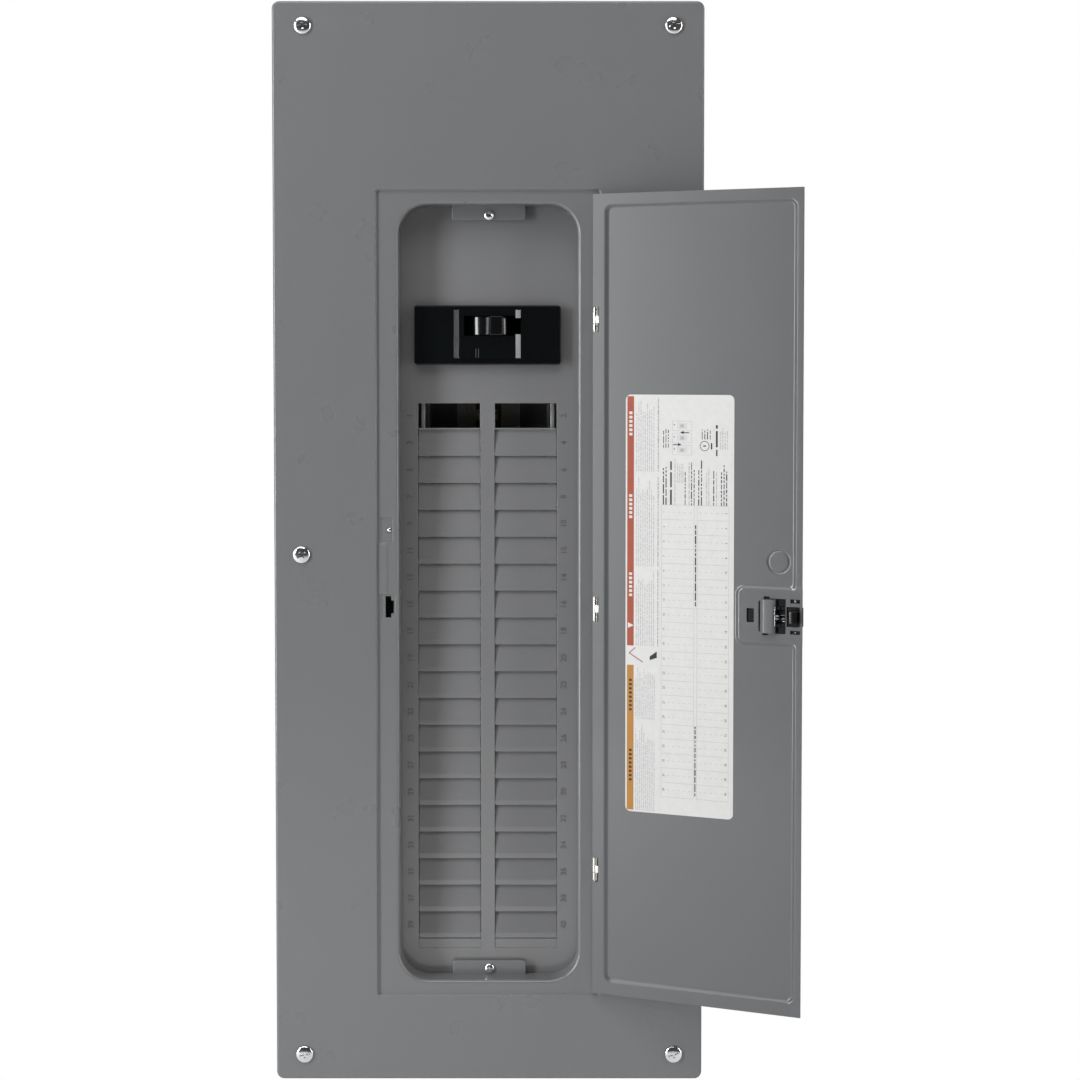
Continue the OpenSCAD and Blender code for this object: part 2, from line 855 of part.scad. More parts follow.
// The tabs that stand into the opening from the top (s = 1) and the bottom (s = -1) of the lip
module deadfront_tabs() {
    color("#78797a")
        for (s = [-1, 1]) {
            root = (s > 0 ? opening_box[3] : opening_box[2]) - s * seat_gap;
            tip = root - s * tab_reach;
            difference() {
                slab(tab_d, cover_t)
                    polygon(rounded([-tab_x, tab_x, min(root, tip), max(root, tip)], 1.5));
                depth_rod(0, deadfront_screw_z[s > 0 ? 0 : 1], tab_d + 1, 10, 2.6);
            }
        }
}

module cover_screws() {
    color("#d4d4d2")
        for (row = cover_screw_rows, s = [-1, 1])
            pan_screw(s * row[0], row[1], cover_d + seat_gap, 8, 3.2, 2, 12);
}

// The zigzag section of one column of twist-out plates, as [depth, z] points
function louver_front(front_d) = [
    for (i = [0:rows - 2], k = [0:1])
        let (z = row_top_z - row_pitch * (i + 1 + k))
            [k == 0 ? front_d - twistout_step : front_d, z]
];

function louver_back(front_d, t) = [
    for (i = [rows - 2:-1:0], k = [1:-1:0])
        let (z = row_top_z - row_pitch * (i + 1 + k) + t)
            [k == 0 ? front_d - twistout_step - t : front_d - t, z]
];

module twistout_column(x) {
    t = deadfront_t;
    side = 0.5;
    front_d = deadfront_d - 0.15;
    points = [for (p = concat(louver_front(front_d), louver_back(front_d, t))) [-p[0], p[1]]];
    translate([x - side, 0, 0])
        rotate([90, 0, 90])
            linear_extrude(column_w + 2 * side)
                polygon(points);
}

module deadfront_plate() {
    shear_gap = 0.5;
    outline = grown(opening_box, 7);
    color("#5a5a5b")
        difference() {
            union() {
                difference() {
                    slab(deadfront_d, deadfront_t)
                        polygon(rounded(outline, opening_corner + 7));
                    for (x = [-column_out, column_in])
                        slab(deadfront_d + 1, deadfront_t + 2)
                            translate([interior_x + x, row_bottom_z - shear_gap])
                                square([column_w, (rows - 1) * row_pitch + shear_gap]);
                }
                for (x = [-column_out, column_in])
                    twistout_column(interior_x + x);
                for (s = [-1, 1])
                    block([s * tab_x - 6, s * tab_x + 6], [deadfront_d - 12, deadfront_d - 0.5],
                        [deadfront_screw_z[0] + 8, deadfront_screw_z[0] + 8 + deadfront_t]);
            }
            slab(deadfront_d + 1, deadfront_t + 2)
                polygon(rounded(grown([nose_box[0] + interior_x, nose_box[1] + interior_x,
                    nose_box[2], nose_box[3]], 0.5), 2.5));
            for (x = [-column_out, column_in])
                slab(deadfront_d + 1, deadfront_t + 2)
                    translate([interior_x + x + 0.4, row_z(0) - 11.6])
                        square([column_w - 0.8, 23.2]);
            for (z = deadfront_screw_z)
                depth_rod(0, z, deadfront_d + 1, 10, 2.2);
        }
}

module deadfront_screws() {
    color("#b9b6b0")
        for (z = deadfront_screw_z)
            pan_screw(0, z, tab_d + seat_gap, 4.7, 3, 2.1, 16);
}

// ---------------------------------------------------------------- door

module door_panel() {
    front_d = door_back_d + door_t;
    notch_z = 1.5 * knuckle_h + 1.2;
    color("#85868a")
        on_door()
            difference() {
                union() {
                    slab(front_d, door_t)
                        polygon(rounded(door_box, 3));
                    slab(front_d + door_step, door_step + door_t)
                        polygon(rounded(field_box, 4));
                    slab(front_d + door_step + pad_step, pad_step + door_t)
                        polygon(rounded(pad_box, 3));
                }
                slab(field_back_d, door_step + 1)
                    polygon(rounded(grown(field_box, -door_t), 3));
                slab(field_back_d + pad_step, pad_step + 1)
                    polygon(rounded(grown(pad_box, -door_t), 2));
                for (z = hinge_z)
                    block([hinge_x - 4.8, hinge_x + 2], [door_back_d - 1, front_d + 1],
                        [z - notch_z, z + notch_z]);
                translate([hinge_x - 179.2, -field_back_d, -8.6])
                    rotate([-90, 0, 0])
                        knockout_ring(9.9);
                block([hinge_x - 156.6, hinge_x - 153.4 + latch_travel], [door_back_d, cover_d + 10],
                    [latch_z - 6.2, latch_z + 6.2]);
                for (s = [-1, 1])
                    block([hinge_x - 194, hinge_x - 191.6], [door_back_d - 1, cover_d + 10],
                        [latch_z + s * 14 - 1.7, latch_z + s * 14 + 1.7]);
            }
}

// One knuckle of a hinge centred on height z
module knuckle(z, bore_r) {
    translate([hinge_x, -hinge_d, z])
        difference() {
            cylinder(h = knuckle_h, r = knuckle_r, center = true);
            cylinder(h = knuckle_h + 1, r = bore_r, center = true);
        }
}

// The fixed half of a hinge: two knuckles on a leaf that passes behind the recess floor
module hinge_leaf_cover(z) {
    half = 1.5 * knuckle_h + work_gap;
    foot_d = recess_back_d - seat_gap;
    color("#c4c2bc") {
        for (s = [-1, 1]) {
            knuckle(z + s * (knuckle_h + work_gap), hinge_pin_r + 0.02);
            difference() {
                block([hinge_x + 0.8, hinge_x + 2], [foot_d - 1.2, hinge_d],
                    [z + s * (knuckle_h + work_gap) - knuckle_h / 2,
                        z + s * (knuckle_h + work_gap) + knuckle_h / 2]);
                translate([hinge_x, -hinge_d, z])
                    cylinder(h = 4 * knuckle_h, r = hinge_pin_r + 0.5, center = true);
            }
        }
        block([hinge_x + 0.8, hinge_x + 18], [foot_d - 1.2, foot_d], [z - half, z + half]);
    }
}

// The moving half of a hinge: one knuckle on a leaf fixed to the door's outer face
module hinge_leaf_door(z) {
    front_d = door_back_d + door_t;
    leaf_d = [front_d + seat_gap, front_d + 1.3];
    color("#c4c2bc")
        on_door() {
            knuckle(z, hinge_pin_r + 0.06);
            block([hinge_x - 6, hinge_x - 1.4], leaf_d, [z - knuckle_h / 2, z + knuckle_h / 2]);
            block([hinge_x - 11.5, hinge_x - 5], leaf_d, [z - 10, z + 10]);
        }
}

module hinge_pin(z) {
    half = 1.5 * knuckle_h + work_gap;
    color("#d0cec8")
        translate([hinge_x, -hinge_d, z]) {
            cylinder(h = 2 * half + 1, r = hinge_pin_r, center = true);
            for (s = [-1, 1])
                translate([0, 0, s * (half + 0.6)])
                    cylinder(h = 1, r = 1.9, center = true);
        }
}

module hinge_leaf_cover_upper() {
    hinge_leaf_cover(hinge_z[0]);
}

module hinge_leaf_cover_middle() {
    hinge_leaf_cover(hinge_z[1]);
}

module hinge_leaf_cover_lower() {
    hinge_leaf_cover(hinge_z[2]);
}

module hinge_leaf_door_upper() {
    hinge_leaf_door(hinge_z[0]);
}

module hinge_leaf_door_middle() {
    hinge_leaf_door(hinge_z[1]);
}

module hinge_leaf_door_lower() {
    hinge_leaf_door(hinge_z[2]);
}

module hinge_pin_upper() {
    hinge_pin(hinge_z[0]);
}

module hinge_pin_middle() {
    hinge_pin(hinge_z[1]);
}

module hinge_pin_lower() {
    hinge_pin(hinge_z[2]);
}

// A block on the door, from s[0] to s[1] measured from the hinge pin towards the free edge
module door_block(s, d, z) {
    block([hinge_x - s[1], hinge_x - s[0]], d, [latch_z + z[0], latch_z + z[1]]);
}

bar_d = [95, 96.6];                            // depths of the latch's sliding bar

module latch_housing() {
    top_d = field_back_d + pad_step - seat_gap;
    color("#7d7e80")
        on_door()
            difference() {
                union() {
                    door_block([163, 181], [89.5, top_d], [-15.6, 15.6]);
                    for (s = [-1, 1])
                        door_block([180, 187.8], [94.9, top_d], s > 0 ? [6.3, 15.6] : [-15.6, -6.3]);
                }
                door_block([160, 190], [bar_d[0] - 0.35, bar_d[1] + 0.35], [-6, 6]);
                door_block([164.6, 179.4], [91, bar_d[1] + 0.35], [-6, 6]);
                door_block([169, 179.4], [88, 92], [-4, 4]);
            }
}

module latch_slide() {
    hook_d = [recess_back_d - 2.3, recess_back_d - 0.4];
    color("#2a2a2b")
        on_door() {
            door_block([154, 193.8], bar_d, [-5.4, 5.4]);
            door_block([154, 156.2], [bar_d[0], cover_d + 4.5], [-5.4, 5.4]);
            door_block([174.5, 177], [91.4, bar_d[1]], [-5.4, 5.4]);
            door_block([191.5, 193.8], [hook_d[0], bar_d[1]], [-5.4, 5.4]);
            door_block([191.5, 198], hook_d, [-5.4, 5.4]);
            door_block([193.6, 198], hook_d, [-8.5, 8.5]);
        }
}

module latch_spring() {
    coils = 5;
    pitch = 1;
    color("#c8c8c6")
        on_door()
            translate([hinge_x - 174.3, -93.1, latch_z])
                rotate([0, 90, 0]) {
                    for (i = [0:coils - 1])
                        translate([0, 0, 0.6 + i * pitch])
                            rotate_extrude()
                                translate([1.3, 0])
                                    circle(0.35);
                    for (a = [0, 180])
                        rotate([0, 0, a])
                            translate([1.1, -0.2, 0.6])
                                cube([0.4, 0.4, (coils - 1) * pitch]);
                }
}

module directory_label() {
    color("#e4e4e1")
        on_door()
            slab(field_back_d - 0.05, 0.25)
                polygon(rounded(label_box, 5));
}

// ---------------------------------------------------------------- output

box_wrap();
top_end_wall();
bottom_end_wall();
ground_bar();
ground_bar_screws();
ground_mount_screws();
interior_pan();
interior_screws();
bus_insulator();
bus_barrier();
bus_bar_a();
bus_bar_b();
bus_bolts();
branch_rail_left();
branch_rail_right();
neutral_bar_left();
neutral_bar_right();
neutral_insulators();
neutral_screws();
neutral_strap();
neutral_lug();
neutral_lug_screw();
bonding_screw();
breaker_base();
breaker_cover();
breaker_screws();
main_handle();
handle_pin();
line_lug_left();
line_lug_right();
lug_screws();
load_strap_left();
load_strap_right();
fixed_contacts();
contact_crossbar();
contact_arms();
crossbar_pin();
arc_chutes();
cover_panel();
lip_left();
lip_right();
lip_top();
lip_bottom();
deadfront_tabs();
cover_screws();
deadfront_plate();
deadfront_screws();
door_panel();
hinge_leaf_cover_upper();
hinge_leaf_door_upper();
hinge_pin_upper();
hinge_leaf_cover_middle();
hinge_leaf_door_middle();
hinge_pin_middle();
hinge_leaf_cover_lower();
hinge_leaf_door_lower();
hinge_pin_lower();
latch_housing();
latch_slide();
latch_spring();
directory_label();
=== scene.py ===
"""Looks of a residential load center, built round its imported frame.

Every class stands for one sub-assembly. Its fields are sizes in millimetres, and its methods build
the meshes and dress them. A depth, written d, is a distance from the wall face towards the front.
On the door, s is a distance from the hinge pin towards the free edge, with the door shut.
"""
import json
import logging
import math
import random
from dataclasses import dataclass
from enum import Enum
from typing import Callable, Iterable, Sequence

import bmesh
import bpy
from mathutils import Matrix, Vector


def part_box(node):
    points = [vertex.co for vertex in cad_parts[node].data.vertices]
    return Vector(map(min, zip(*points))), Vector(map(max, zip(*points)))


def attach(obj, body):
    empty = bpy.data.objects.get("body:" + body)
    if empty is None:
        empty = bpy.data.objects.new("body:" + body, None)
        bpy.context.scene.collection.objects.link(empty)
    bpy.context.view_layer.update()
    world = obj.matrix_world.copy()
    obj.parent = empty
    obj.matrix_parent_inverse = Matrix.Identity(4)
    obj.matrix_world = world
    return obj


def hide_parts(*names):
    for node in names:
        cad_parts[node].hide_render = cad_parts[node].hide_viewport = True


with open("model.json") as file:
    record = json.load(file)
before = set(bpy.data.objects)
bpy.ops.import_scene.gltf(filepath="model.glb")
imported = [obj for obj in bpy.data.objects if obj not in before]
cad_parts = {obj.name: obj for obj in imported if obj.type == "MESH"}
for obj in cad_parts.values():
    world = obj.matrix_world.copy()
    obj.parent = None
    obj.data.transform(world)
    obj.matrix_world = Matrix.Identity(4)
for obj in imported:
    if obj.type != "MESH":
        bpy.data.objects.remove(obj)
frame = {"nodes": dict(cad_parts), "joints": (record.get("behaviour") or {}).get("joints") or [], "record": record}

log = logging.getLogger("load_center")

MM = 0.001
CORNER_STEPS = 10
SMOOTH_ANGLE = math.radians(32)
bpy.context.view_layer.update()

Point = tuple[float, float]
Span = tuple[float, float]
Colour = tuple[float, float, float]


def joint(name: str) -> dict:
    """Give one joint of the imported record.

    Args:
        name: The joint's name.

    Returns:
        The joint's entry, with its position, axis and range.
    """
    return next(j for j in frame["joints"] if j["name"] == name)


HINGE = joint("door_hinge")
HINGE_X = HINGE["pos_m"][0] / MM
HINGE_D = -HINGE["pos_m"][1] / MM
DOOR_OPEN = math.radians(-HINGE["range_deg"][0])


class Stand(Enum):
    """How a piece stands in the frame: as drawn, or swung open with the door."""

    FIXED = "fixed"
    ON_DOOR = "on_door"

    def matrix(self) -> Matrix:
        """Give the move from where a piece is drawn to where it stands."""
        if self is Stand.FIXED:
            return Matrix.Identity(4)
        pivot = Matrix.Translation((HINGE_X * MM, -HINGE_D * MM, 0))
        return pivot @ Matrix.Rotation(DOOR_OPEN, 4, "Z") @ pivot.inverted()


# ------------------------------------------------------------------ shapes


@dataclass(frozen=True)
class Rect:
    """A rectangle seen from the front, in millimetres."""

    left: float
    right: float
    bottom: float
    top: float

    def grown(self, by: float) -> "Rect":
        """Give the rectangle with every side moved out by an amount."""
        return Rect(self.left - by, self.right + by, self.bottom - by, self.top + by)

    def outline(self, radius: float, steps: int = CORNER_STEPS) -> list[Point]:
        """Walk round the rectangle with its corners rounded.

        Args:
            radius: Corner radius.
            steps: Segments in each corner.

        Returns:
            Points in order, starting at the right side's top corner.
        """
        points = []
        for quarter in range(4):
            cx = self.right - radius if quarter in (0, 3) else self.left + radius
            cz = self.top - radius if quarter < 2 else self.bottom + radius
            for i in range(steps + 1):
                a = math.pi / 2 * (quarter + i / steps)
                points.append((cx + radius * math.cos(a), cz + radius * math.sin(a)))
        return points

    def inside(self, x: float, z: float, radius: float) -> float:
        """Tell how far a point lies inside the rounded rectangle.

        Args:
            x: Point across.
            z: Point up.
            radius: Corner radius.

        Returns:
            The distance to the outline, negative outside it.
        """
        half_w, half_h = (self.right - self.left) / 2, (self.top - self.bottom) / 2
        qx = abs(x - (self.left + self.right) / 2) - half_w + radius
        qz = abs(z - (self.bottom + self.top) / 2) - half_h + radius
        outside = math.hypot(max(qx, 0), max(qz, 0))
        return radius - outside - min(max(qx, qz), 0)


def box_of(node: str) -> tuple[Rect, Span]:
    """Give a CAD node's front rectangle and its depths.

    Args:
        node: The node's name.

    Returns:
        The rectangle, and the nearest and farthest depth from the wall.
    """
    low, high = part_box(node)
    rect = Rect(low.x / MM, high.x / MM, low.z / MM, high.z / MM)
    return rect, (-high.y / MM, -low.y / MM)


class Shape:
    """A mesh in the making, drawn in millimetres as (x, depth, z)."""

    def __init__(self) -> None:
        """Start with nothing."""
        self.bm = bmesh.new()

    def vert(self, x: float, d: float, z: float) -> bmesh.types.BMVert:
        """Add one point."""
        return self.bm.verts.new((x * MM, -d * MM, z * MM))

    def ring(self, outline: Sequence[Point], d: float) -> list[bmesh.types.BMVert]:
        """Add an outline's points at one depth."""
        return [self.vert(x, d, z) for x, z in outline]

    def bridge(self, first: Sequence, second: Sequence) -> None:
        """Join two closed rings of as many points with quads.

        Args:
            first: One ring.
            second: The other ring.
        """
        count = len(first)
        for i in range(count):
            j = (i + 1) % count
            self.bm.faces.new((first[i], first[j], second[j], second[i]))

    def loft(self, rings: Sequence[Sequence], closed: bool = False) -> None:
        """Skin a row of rings.

        Args:
            rings: Rings of as many points each.
            closed: Join the last to the first. Otherwise both ends get a cap.
        """
        for first, second in zip(rings, rings[1:]):
            self.bridge(first, second)
        if closed:
            self.bridge(rings[-1], rings[0])
        else:
            self.bm.faces.new(list(reversed(rings[0])))
            self.bm.faces.new(rings[-1])

    def plate(self, rect: Rect, radius: float, d: Span, edge: float, steps: int = 3) -> None:
        """Add a plate with rounded corners and rolled front and back edges.

        Args:
            rect: Its outline.
            radius: Corner radius.
            d: Depths of its back and front faces.
            edge: Radius rolled on its edges.
            steps: Segments in each rolled edge.
        """
        rings = []
        for i in range(steps + 1):
            a = math.pi / 2 * i / steps
            inset = edge * (1 - math.sin(a))
            outline = rect.grown(-inset).outline(max(radius - inset, 0.02))
            rings.append(self.ring(outline, d[0] + edge * (1 - math.cos(a))))
        for i in range(steps + 1):
            a = math.pi / 2 * i / steps
            inset = edge * (1 - math.cos(a))
            outline = rect.grown(-inset).outline(max(radius - inset, 0.02))
            rings.append(self.ring(outline, d[1] - edge * (1 - math.sin(a))))
        self.loft(rings)

    def prism(self, section: Sequence[Point], across: Span, edge: float = 0.0) -> None:
        """Add a section of (depth, z) points drawn out along x.

        Args:
            section: The section's points.
            across: Where it starts and ends.
            edge: Width of the bevel on its edges.
        """
        rings = [[self.vert(x, d, z) for d, z in section] for x in across]
        first_face = len(self.bm.faces)
        self.loft(rings)
        self.soften(first_face, edge)

    def post(self, section: Sequence[Point], z: Span, edge: float = 0.0, steps: int = 2) -> None:
        """Add a section of (x, depth) points drawn out along z.

        Args:
            section: The section's points.
            z: Where it starts and ends.
            edge: Width of the bevel on its edges.
            steps: Segments in the bevel.
        """
        rings = [[self.vert(x, d, height) for x, d in section] for height in z]
        first_face = len(self.bm.faces)
        self.loft(rings)
        self.soften(first_face, edge, steps)

    def block(self, x: Span, d: Span, z: Span, edge: float = 0.0, steps: int = 2) -> None:
        """Add a box with bevelled edges."""
        corners = [(x[0], d[0]), (x[1], d[0]), (x[1], d[1]), (x[0], d[1])]
        self.post(corners, z, edge, steps)

    def soften(self, first_face: int, edge: float, steps: int = 2) -> None:
        """Bevel the sharp edges of the faces added since first_face.

        Args:
            first_face: How many faces there were before.
            edge: Width of the bevel, or zero for none.
            steps: Segments in the bevel.
        """
        if edge <= 0:
            return
        self.bm.faces.ensure_lookup_table()
        added = self.bm.faces[first_face:]
        bmesh.ops.recalc_face_normals(self.bm, faces=added)
        edges = {e for f in added for e in f.edges}
        sharp = [e for e in edges if len(e.link_faces) == 2 and e.calc_face_angle(0) > SMOOTH_ANGLE]
        bmesh.ops.bevel(self.bm, geom=sharp, offset=edge * MM, offset_type="OFFSET", segments=steps,
                        profile=0.5, affect="EDGES", clamp_overlap=True)

    def turned(self, profile: Sequence[Point], x: float, z: float, d: float, sides: int = 40) -> None:
        """Turn a profile about a line along the depth.

        Args:
            profile: Points of (radius, height over d), from the back to the front, both on the line.
            x: The line's place across.
            z: The line's place up.
            d: Depth that the heights start from.
            sides: Segments round.
        """
        turns = [2 * math.pi * i / sides for i in range(sides)]
        rings = [[self.vert(x + r * math.cos(a), d + h, z + r * math.sin(a)) for a in turns]
                 for r, h in profile if r > 0]
        self.loft(rings)

    def tube(self, path: Sequence[Vector], radius: float, sides: int = 8) -> None:
        """Add a round bar along a path of (x, d, z) points in millimetres.

        Args:
            path: The centreline.
            radius: Radius of the bar.
            sides: Segments round.
        """
        rings = []
        side = Vector((0.3, 0.2, 1.0))
        for i, centre in enumerate(path):
            ahead = path[min(i + 1, len(path) - 1)] - path[max(i - 1, 0)]
            ahead.normalize()
            side = (side - ahead * side.dot(ahead)).normalized()
            other = ahead.cross(side)
            turns = [2 * math.pi * k / sides for k in range(sides)]
            rings.append([self.vert(*(centre + side * radius * math.cos(a) + other * radius * math.sin(a)))
                          for a in turns])
        self.loft(rings)

    def lettering(self, body: str, size: float, thick: float, place: Callable[[Vector], Vector]) -> None:
        """Add figures in the plain built-in face.

        Args:
            body: What they say.
            size: Their height.
            thick: How far they stand out.
            place: Takes a point of the figures, (along, up, out), to (x, d, z).
        """
        curve = bpy.data.curves.new("figures", "FONT")
        curve.body, curve.size, curve.extrude = body, size, thick / 2
        curve.align_x, curve.align_y = "CENTER", "CENTER"
        curve.resolution_u, curve.bevel_depth, curve.bevel_resolution = 3, thick * 0.3, 1
        holder = bpy.data.objects.new("figures", curve)
        bpy.context.scene.collection.objects.link(holder)
        bpy.context.view_layer.update()
        graph = bpy.context.evaluated_depsgraph_get()
        mesh = bpy.data.meshes.new_from_object(holder.evaluated_get(graph))
        verts = [self.vert(*place(v.co)) for v in mesh.vertices]
        for polygon in mesh.polygons:
            corners = [verts[i] for i in polygon.vertices]
            if len(set(corners)) > 2 and not self.bm.faces.get(corners):
                self.bm.faces.new(corners)
        bpy.data.objects.remove(holder)
        bpy.data.meshes.remove(mesh)
        bpy.data.curves.remove(curve)

    def piece(self, name: str, finish: "Finish", stand: Stand = Stand.FIXED) -> bpy.types.Object:
        """Turn the mesh into an object with smooth faces and one finish.

        Args:
            name: The piece's name.
            finish: What it is finished in.
            stand: How it stands in the frame.

        Returns:
            The object, in the scene.
        """
        bmesh.ops.remove_doubles(self.bm, verts=self.bm.verts, dist=1e-7)
        bmesh.ops.recalc_face_normals(self.bm, faces=self.bm.faces)
        mesh = bpy.data.meshes.new(name)
        self.bm.to_mesh(mesh)
        self.bm.free()
        mesh.transform(stand.matrix())
        for polygon in mesh.polygons:
            polygon.use_smooth = True
        mesh.set_sharp_from_angle(angle=SMOOTH_ANGLE)
        mesh.materials.append(finish.material())
        thing = bpy.data.objects.new(name, mesh)
        bpy.context.scene.collection.objects.link(thing)
        return thing


def carve(thing: bpy.types.Object, cutter: Shape) -> None:
    """Cut a shape out of a piece and keep the result as its mesh.

    Args:
        thing: The piece to cut.
        cutter: What is taken away.
    """
    tool = cutter.piece("cutter", CUTTER_FINISH)
    modifier = thing.modifiers.new("carve", "BOOLEAN")
    modifier.operation, modifier.solver, modifier.object = "DIFFERENCE", "EXACT", tool
    bpy.context.view_layer.update()
    graph = bpy.context.evaluated_depsgraph_get()
    finish = thing.data.materials[0]
    mesh = bpy.data.meshes.new_from_object(thing.evaluated_get(graph))
    thing.modifiers.remove(modifier)
    thing.data = mesh
    mesh.materials.clear()
    mesh.materials.append(finish)
    for polygon in mesh.polygons:
        polygon.material_index = 0
        polygon.use_smooth = True
    mesh.set_sharp_from_angle(angle=SMOOTH_ANGLE)
    bpy.data.objects.remove(tool)


def steady_shading(thing: bpy.types.Object) -> None:
    """Keep the large flat faces flat beside their rolled edges."""
    modifier = thing.modifiers.new("steady", "WEIGHTED_NORMAL")
    modifier.keep_sharp = True
    modifier.weight = 80


def round_edges(thing: bpy.types.Object, width: float, angle: float) -> None:
    """Round a piece's sharp edges.

    Args:
        thing: The piece.
        width: Width of the rounding in millimetres.
        angle: Least angle of an edge that gets it, in degrees.
    """
    bevel = thing.modifiers.new("rounded_edges", "BEVEL")
    bevel.width, bevel.segments, bevel.limit_method = width * MM, 2, "ANGLE"
    bevel.angle_limit = math.radians(angle)
    steady_shading(thing)


def seat(thing: bpy.types.Object, body: str, slot: str, *nodes: str) -> bpy.types.Object:
    """Fix a finished piece to its body, hide the CAD nodes that it replaces and log it.

    Args:
        thing: The piece.
        body: The body that it rides on.
        slot: The record's material slot; not used.
        nodes: CAD nodes that it replaces.

    Returns:
        The piece.
    """
    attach(thing, body)
    if nodes:
        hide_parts(*nodes)
    log.info("%s: %d faces on %s", thing.name, len(thing.data.polygons), body)
    return thing


# ------------------------------------------------------------------ finishes


class Graph:
    """A material's nodes, with short calls for what the finishes use."""

    def __init__(self, name: str) -> None:
        """Start a material with its shader and the piece's own coordinates.

        Args:
            name: The material's name.
        """
        self.material = bpy.data.materials.new(name)
        self.material.use_nodes = True
        self.nodes = self.material.node_tree.nodes
        self.links = self.material.node_tree.links
        self.shader = self.nodes["Principled BSDF"]
        self.coords = self.nodes.new("ShaderNodeTexCoord").outputs["Object"]

    def set(self, **values: float | tuple) -> None:
        """Set the shader's own sockets, with _ for a space in a socket's name."""
        for name, value in values.items():
            self.shader.inputs[name.replace("_", " ")].default_value = value

    def noise(self, scale: float, detail: float = 2.0, stretch: tuple = (1, 1, 1)) -> bpy.types.NodeSocket:
        """Give a noise from 0 to 1.

        Args:
            scale: Features in a metre.
            detail: Octaves.
            stretch: Scale along each axis.

        Returns:
            The noise's output.
        """
        mapping = self.nodes.new("ShaderNodeMapping")
        mapping.inputs["Scale"].default_value = stretch
        self.links.new(self.coords, mapping.inputs["Vector"])
        noise = self.nodes.new("ShaderNodeTexNoise")
        noise.inputs["Scale"].default_value = scale
        noise.inputs["Detail"].default_value = detail
        self.links.new(mapping.outputs["Vector"], noise.inputs["Vector"])
        return noise.outputs[0]

    def cells(self, scale: float) -> bpy.types.NodeSocket:
        """Give a random value to each cell of a broken pattern.

        Args:
            scale: Cells in a metre.

        Returns:
            The value, from 0 to 1.
        """
        voronoi = self.nodes.new("ShaderNodeTexVoronoi")
        voronoi.inputs["Scale"].default_value = scale
        self.links.new(self.coords, voronoi.inputs["Vector"])
        split = self.nodes.new("ShaderNodeSeparateColor")
        self.links.new(voronoi.outputs["Color"], split.inputs[0])
        return split.outputs[0]

    def spread(self, value: bpy.types.NodeSocket, low: float, high: float,
               start: float = 0.3, end: float = 0.7) -> bpy.types.NodeSocket:
        """Spread the middle of a pattern over a range.

        Args:
            value: The pattern.
            low: What it becomes at start.
            high: What it becomes at end.
            start: Lowest value that counts.
            end: Highest value that counts.

        Returns:
            The spread value.
        """
        node = self.nodes.new("ShaderNodeMapRange")
        node.inputs["From Min"].default_value = start
        node.inputs["From Max"].default_value = end
        node.inputs["To Min"].default_value = low
        node.inputs["To Max"].default_value = high
        self.links.new(value, node.inputs["Value"])
        return node.outputs["Result"]

    def tint(self, value: bpy.types.NodeSocket, first: Colour, second: Colour) -> bpy.types.NodeSocket:
        """Blend two colours by a value from 0 to 1.

        Args:
            value: How far to go from the first to the second.
            first: Colour at 0.
            second: Colour at 1.

        Returns:
            The blended colour.
        """
        node = self.nodes.new("ShaderNodeMix")
        node.data_type = "RGBA"
        self.links.new(value, node.inputs[0])
        node.inputs[6].default_value = (*first, 1)
        node.inputs[7].default_value = (*second, 1)
        return node.outputs[2]

    def bump(self, height: bpy.types.NodeSocket, strength: float, distance: float) -> bpy.types.NodeSocket:
        """Turn a height into a normal.

        Args:
            height: The pattern.
            strength: How much of it counts.
            distance: Its height in metres.

        Returns:
            The normal.
        """
        node = self.nodes.new("ShaderNodeBump")
        node.inputs["Strength"].default_value = strength
        node.inputs["Distance"].default_value = distance
        self.links.new(height, node.inputs["Height"])
        return node.outputs["Normal"]

    def feed(self, socket: str, value: bpy.types.NodeSocket) -> None:
        """Link a pattern to one of the shader's sockets."""
        self.links.new(value, self.shader.inputs[socket])


def scaled(colour: Colour, by: float) -> Colour:
    """Give a colour made lighter or darker."""
    return tuple(min(1.0, c * by) for c in colour)


@dataclass(frozen=True)
class Finish:
    """What a piece is finished in. Each kind of finish builds its own nodes."""

    name: str
    colour: Colour

    def material(self) -> bpy.types.Material:
        """Give the finish's material, built the first time."""
        found = bpy.data.materials.get(self.name)
        return found if found else self.build(Graph(self.name))

    def build(self, graph: Graph) -> bpy.types.Material:
        """Build the nodes of a plain finish."""
        graph.set(Base_Color=(*self.colour, 1))
        return graph.material


@dataclass(frozen=True)
class PaintFinish(Finish):
    """Baked enamel on sheet metal: a light orange peel, uneven gloss and faint handling marks."""

    gloss: float = 0.28
    peel: float = 0.05
    coat: float = 0.4
    cloud_scale: float = 4
    rub_scale: float = 22
    speck_scale: float = 420
    speck_share: float = 0.05
    peel_scale: float = 520

    def build(self, graph: Graph) -> bpy.types.Material:
        """Build the paint's nodes.

        Args:
            graph: The nodes to build in.

        Returns:
            The material.
        """
        cloud = graph.noise(self.cloud_scale)
        speck = graph.noise(self.speck_scale)
        body = graph.tint(cloud, scaled(self.colour, 0.97), scaled(self.colour, 1.03))
        fine = graph.nodes.new("ShaderNodeMix")
        fine.data_type = "RGBA"
        fine.blend_type = "MULTIPLY"
        fine.inputs[0].default_value = self.speck_share
        graph.links.new(body, fine.inputs[6])
        graph.links.new(speck, fine.inputs[7])
        graph.feed("Base Color", fine.outputs[2])
        rub = graph.noise(self.rub_scale, 3)
        graph.feed("Roughness", graph.spread(rub, self.gloss - 0.03, self.gloss + 0.04, 0, 1))
        graph.feed("Normal", graph.bump(graph.noise(self.peel_scale), self.peel, 0.0001))
        graph.set(Coat_Weight=self.coat, Coat_Roughness=0.09, Specular_IOR_Level=0.5)
        return graph.material


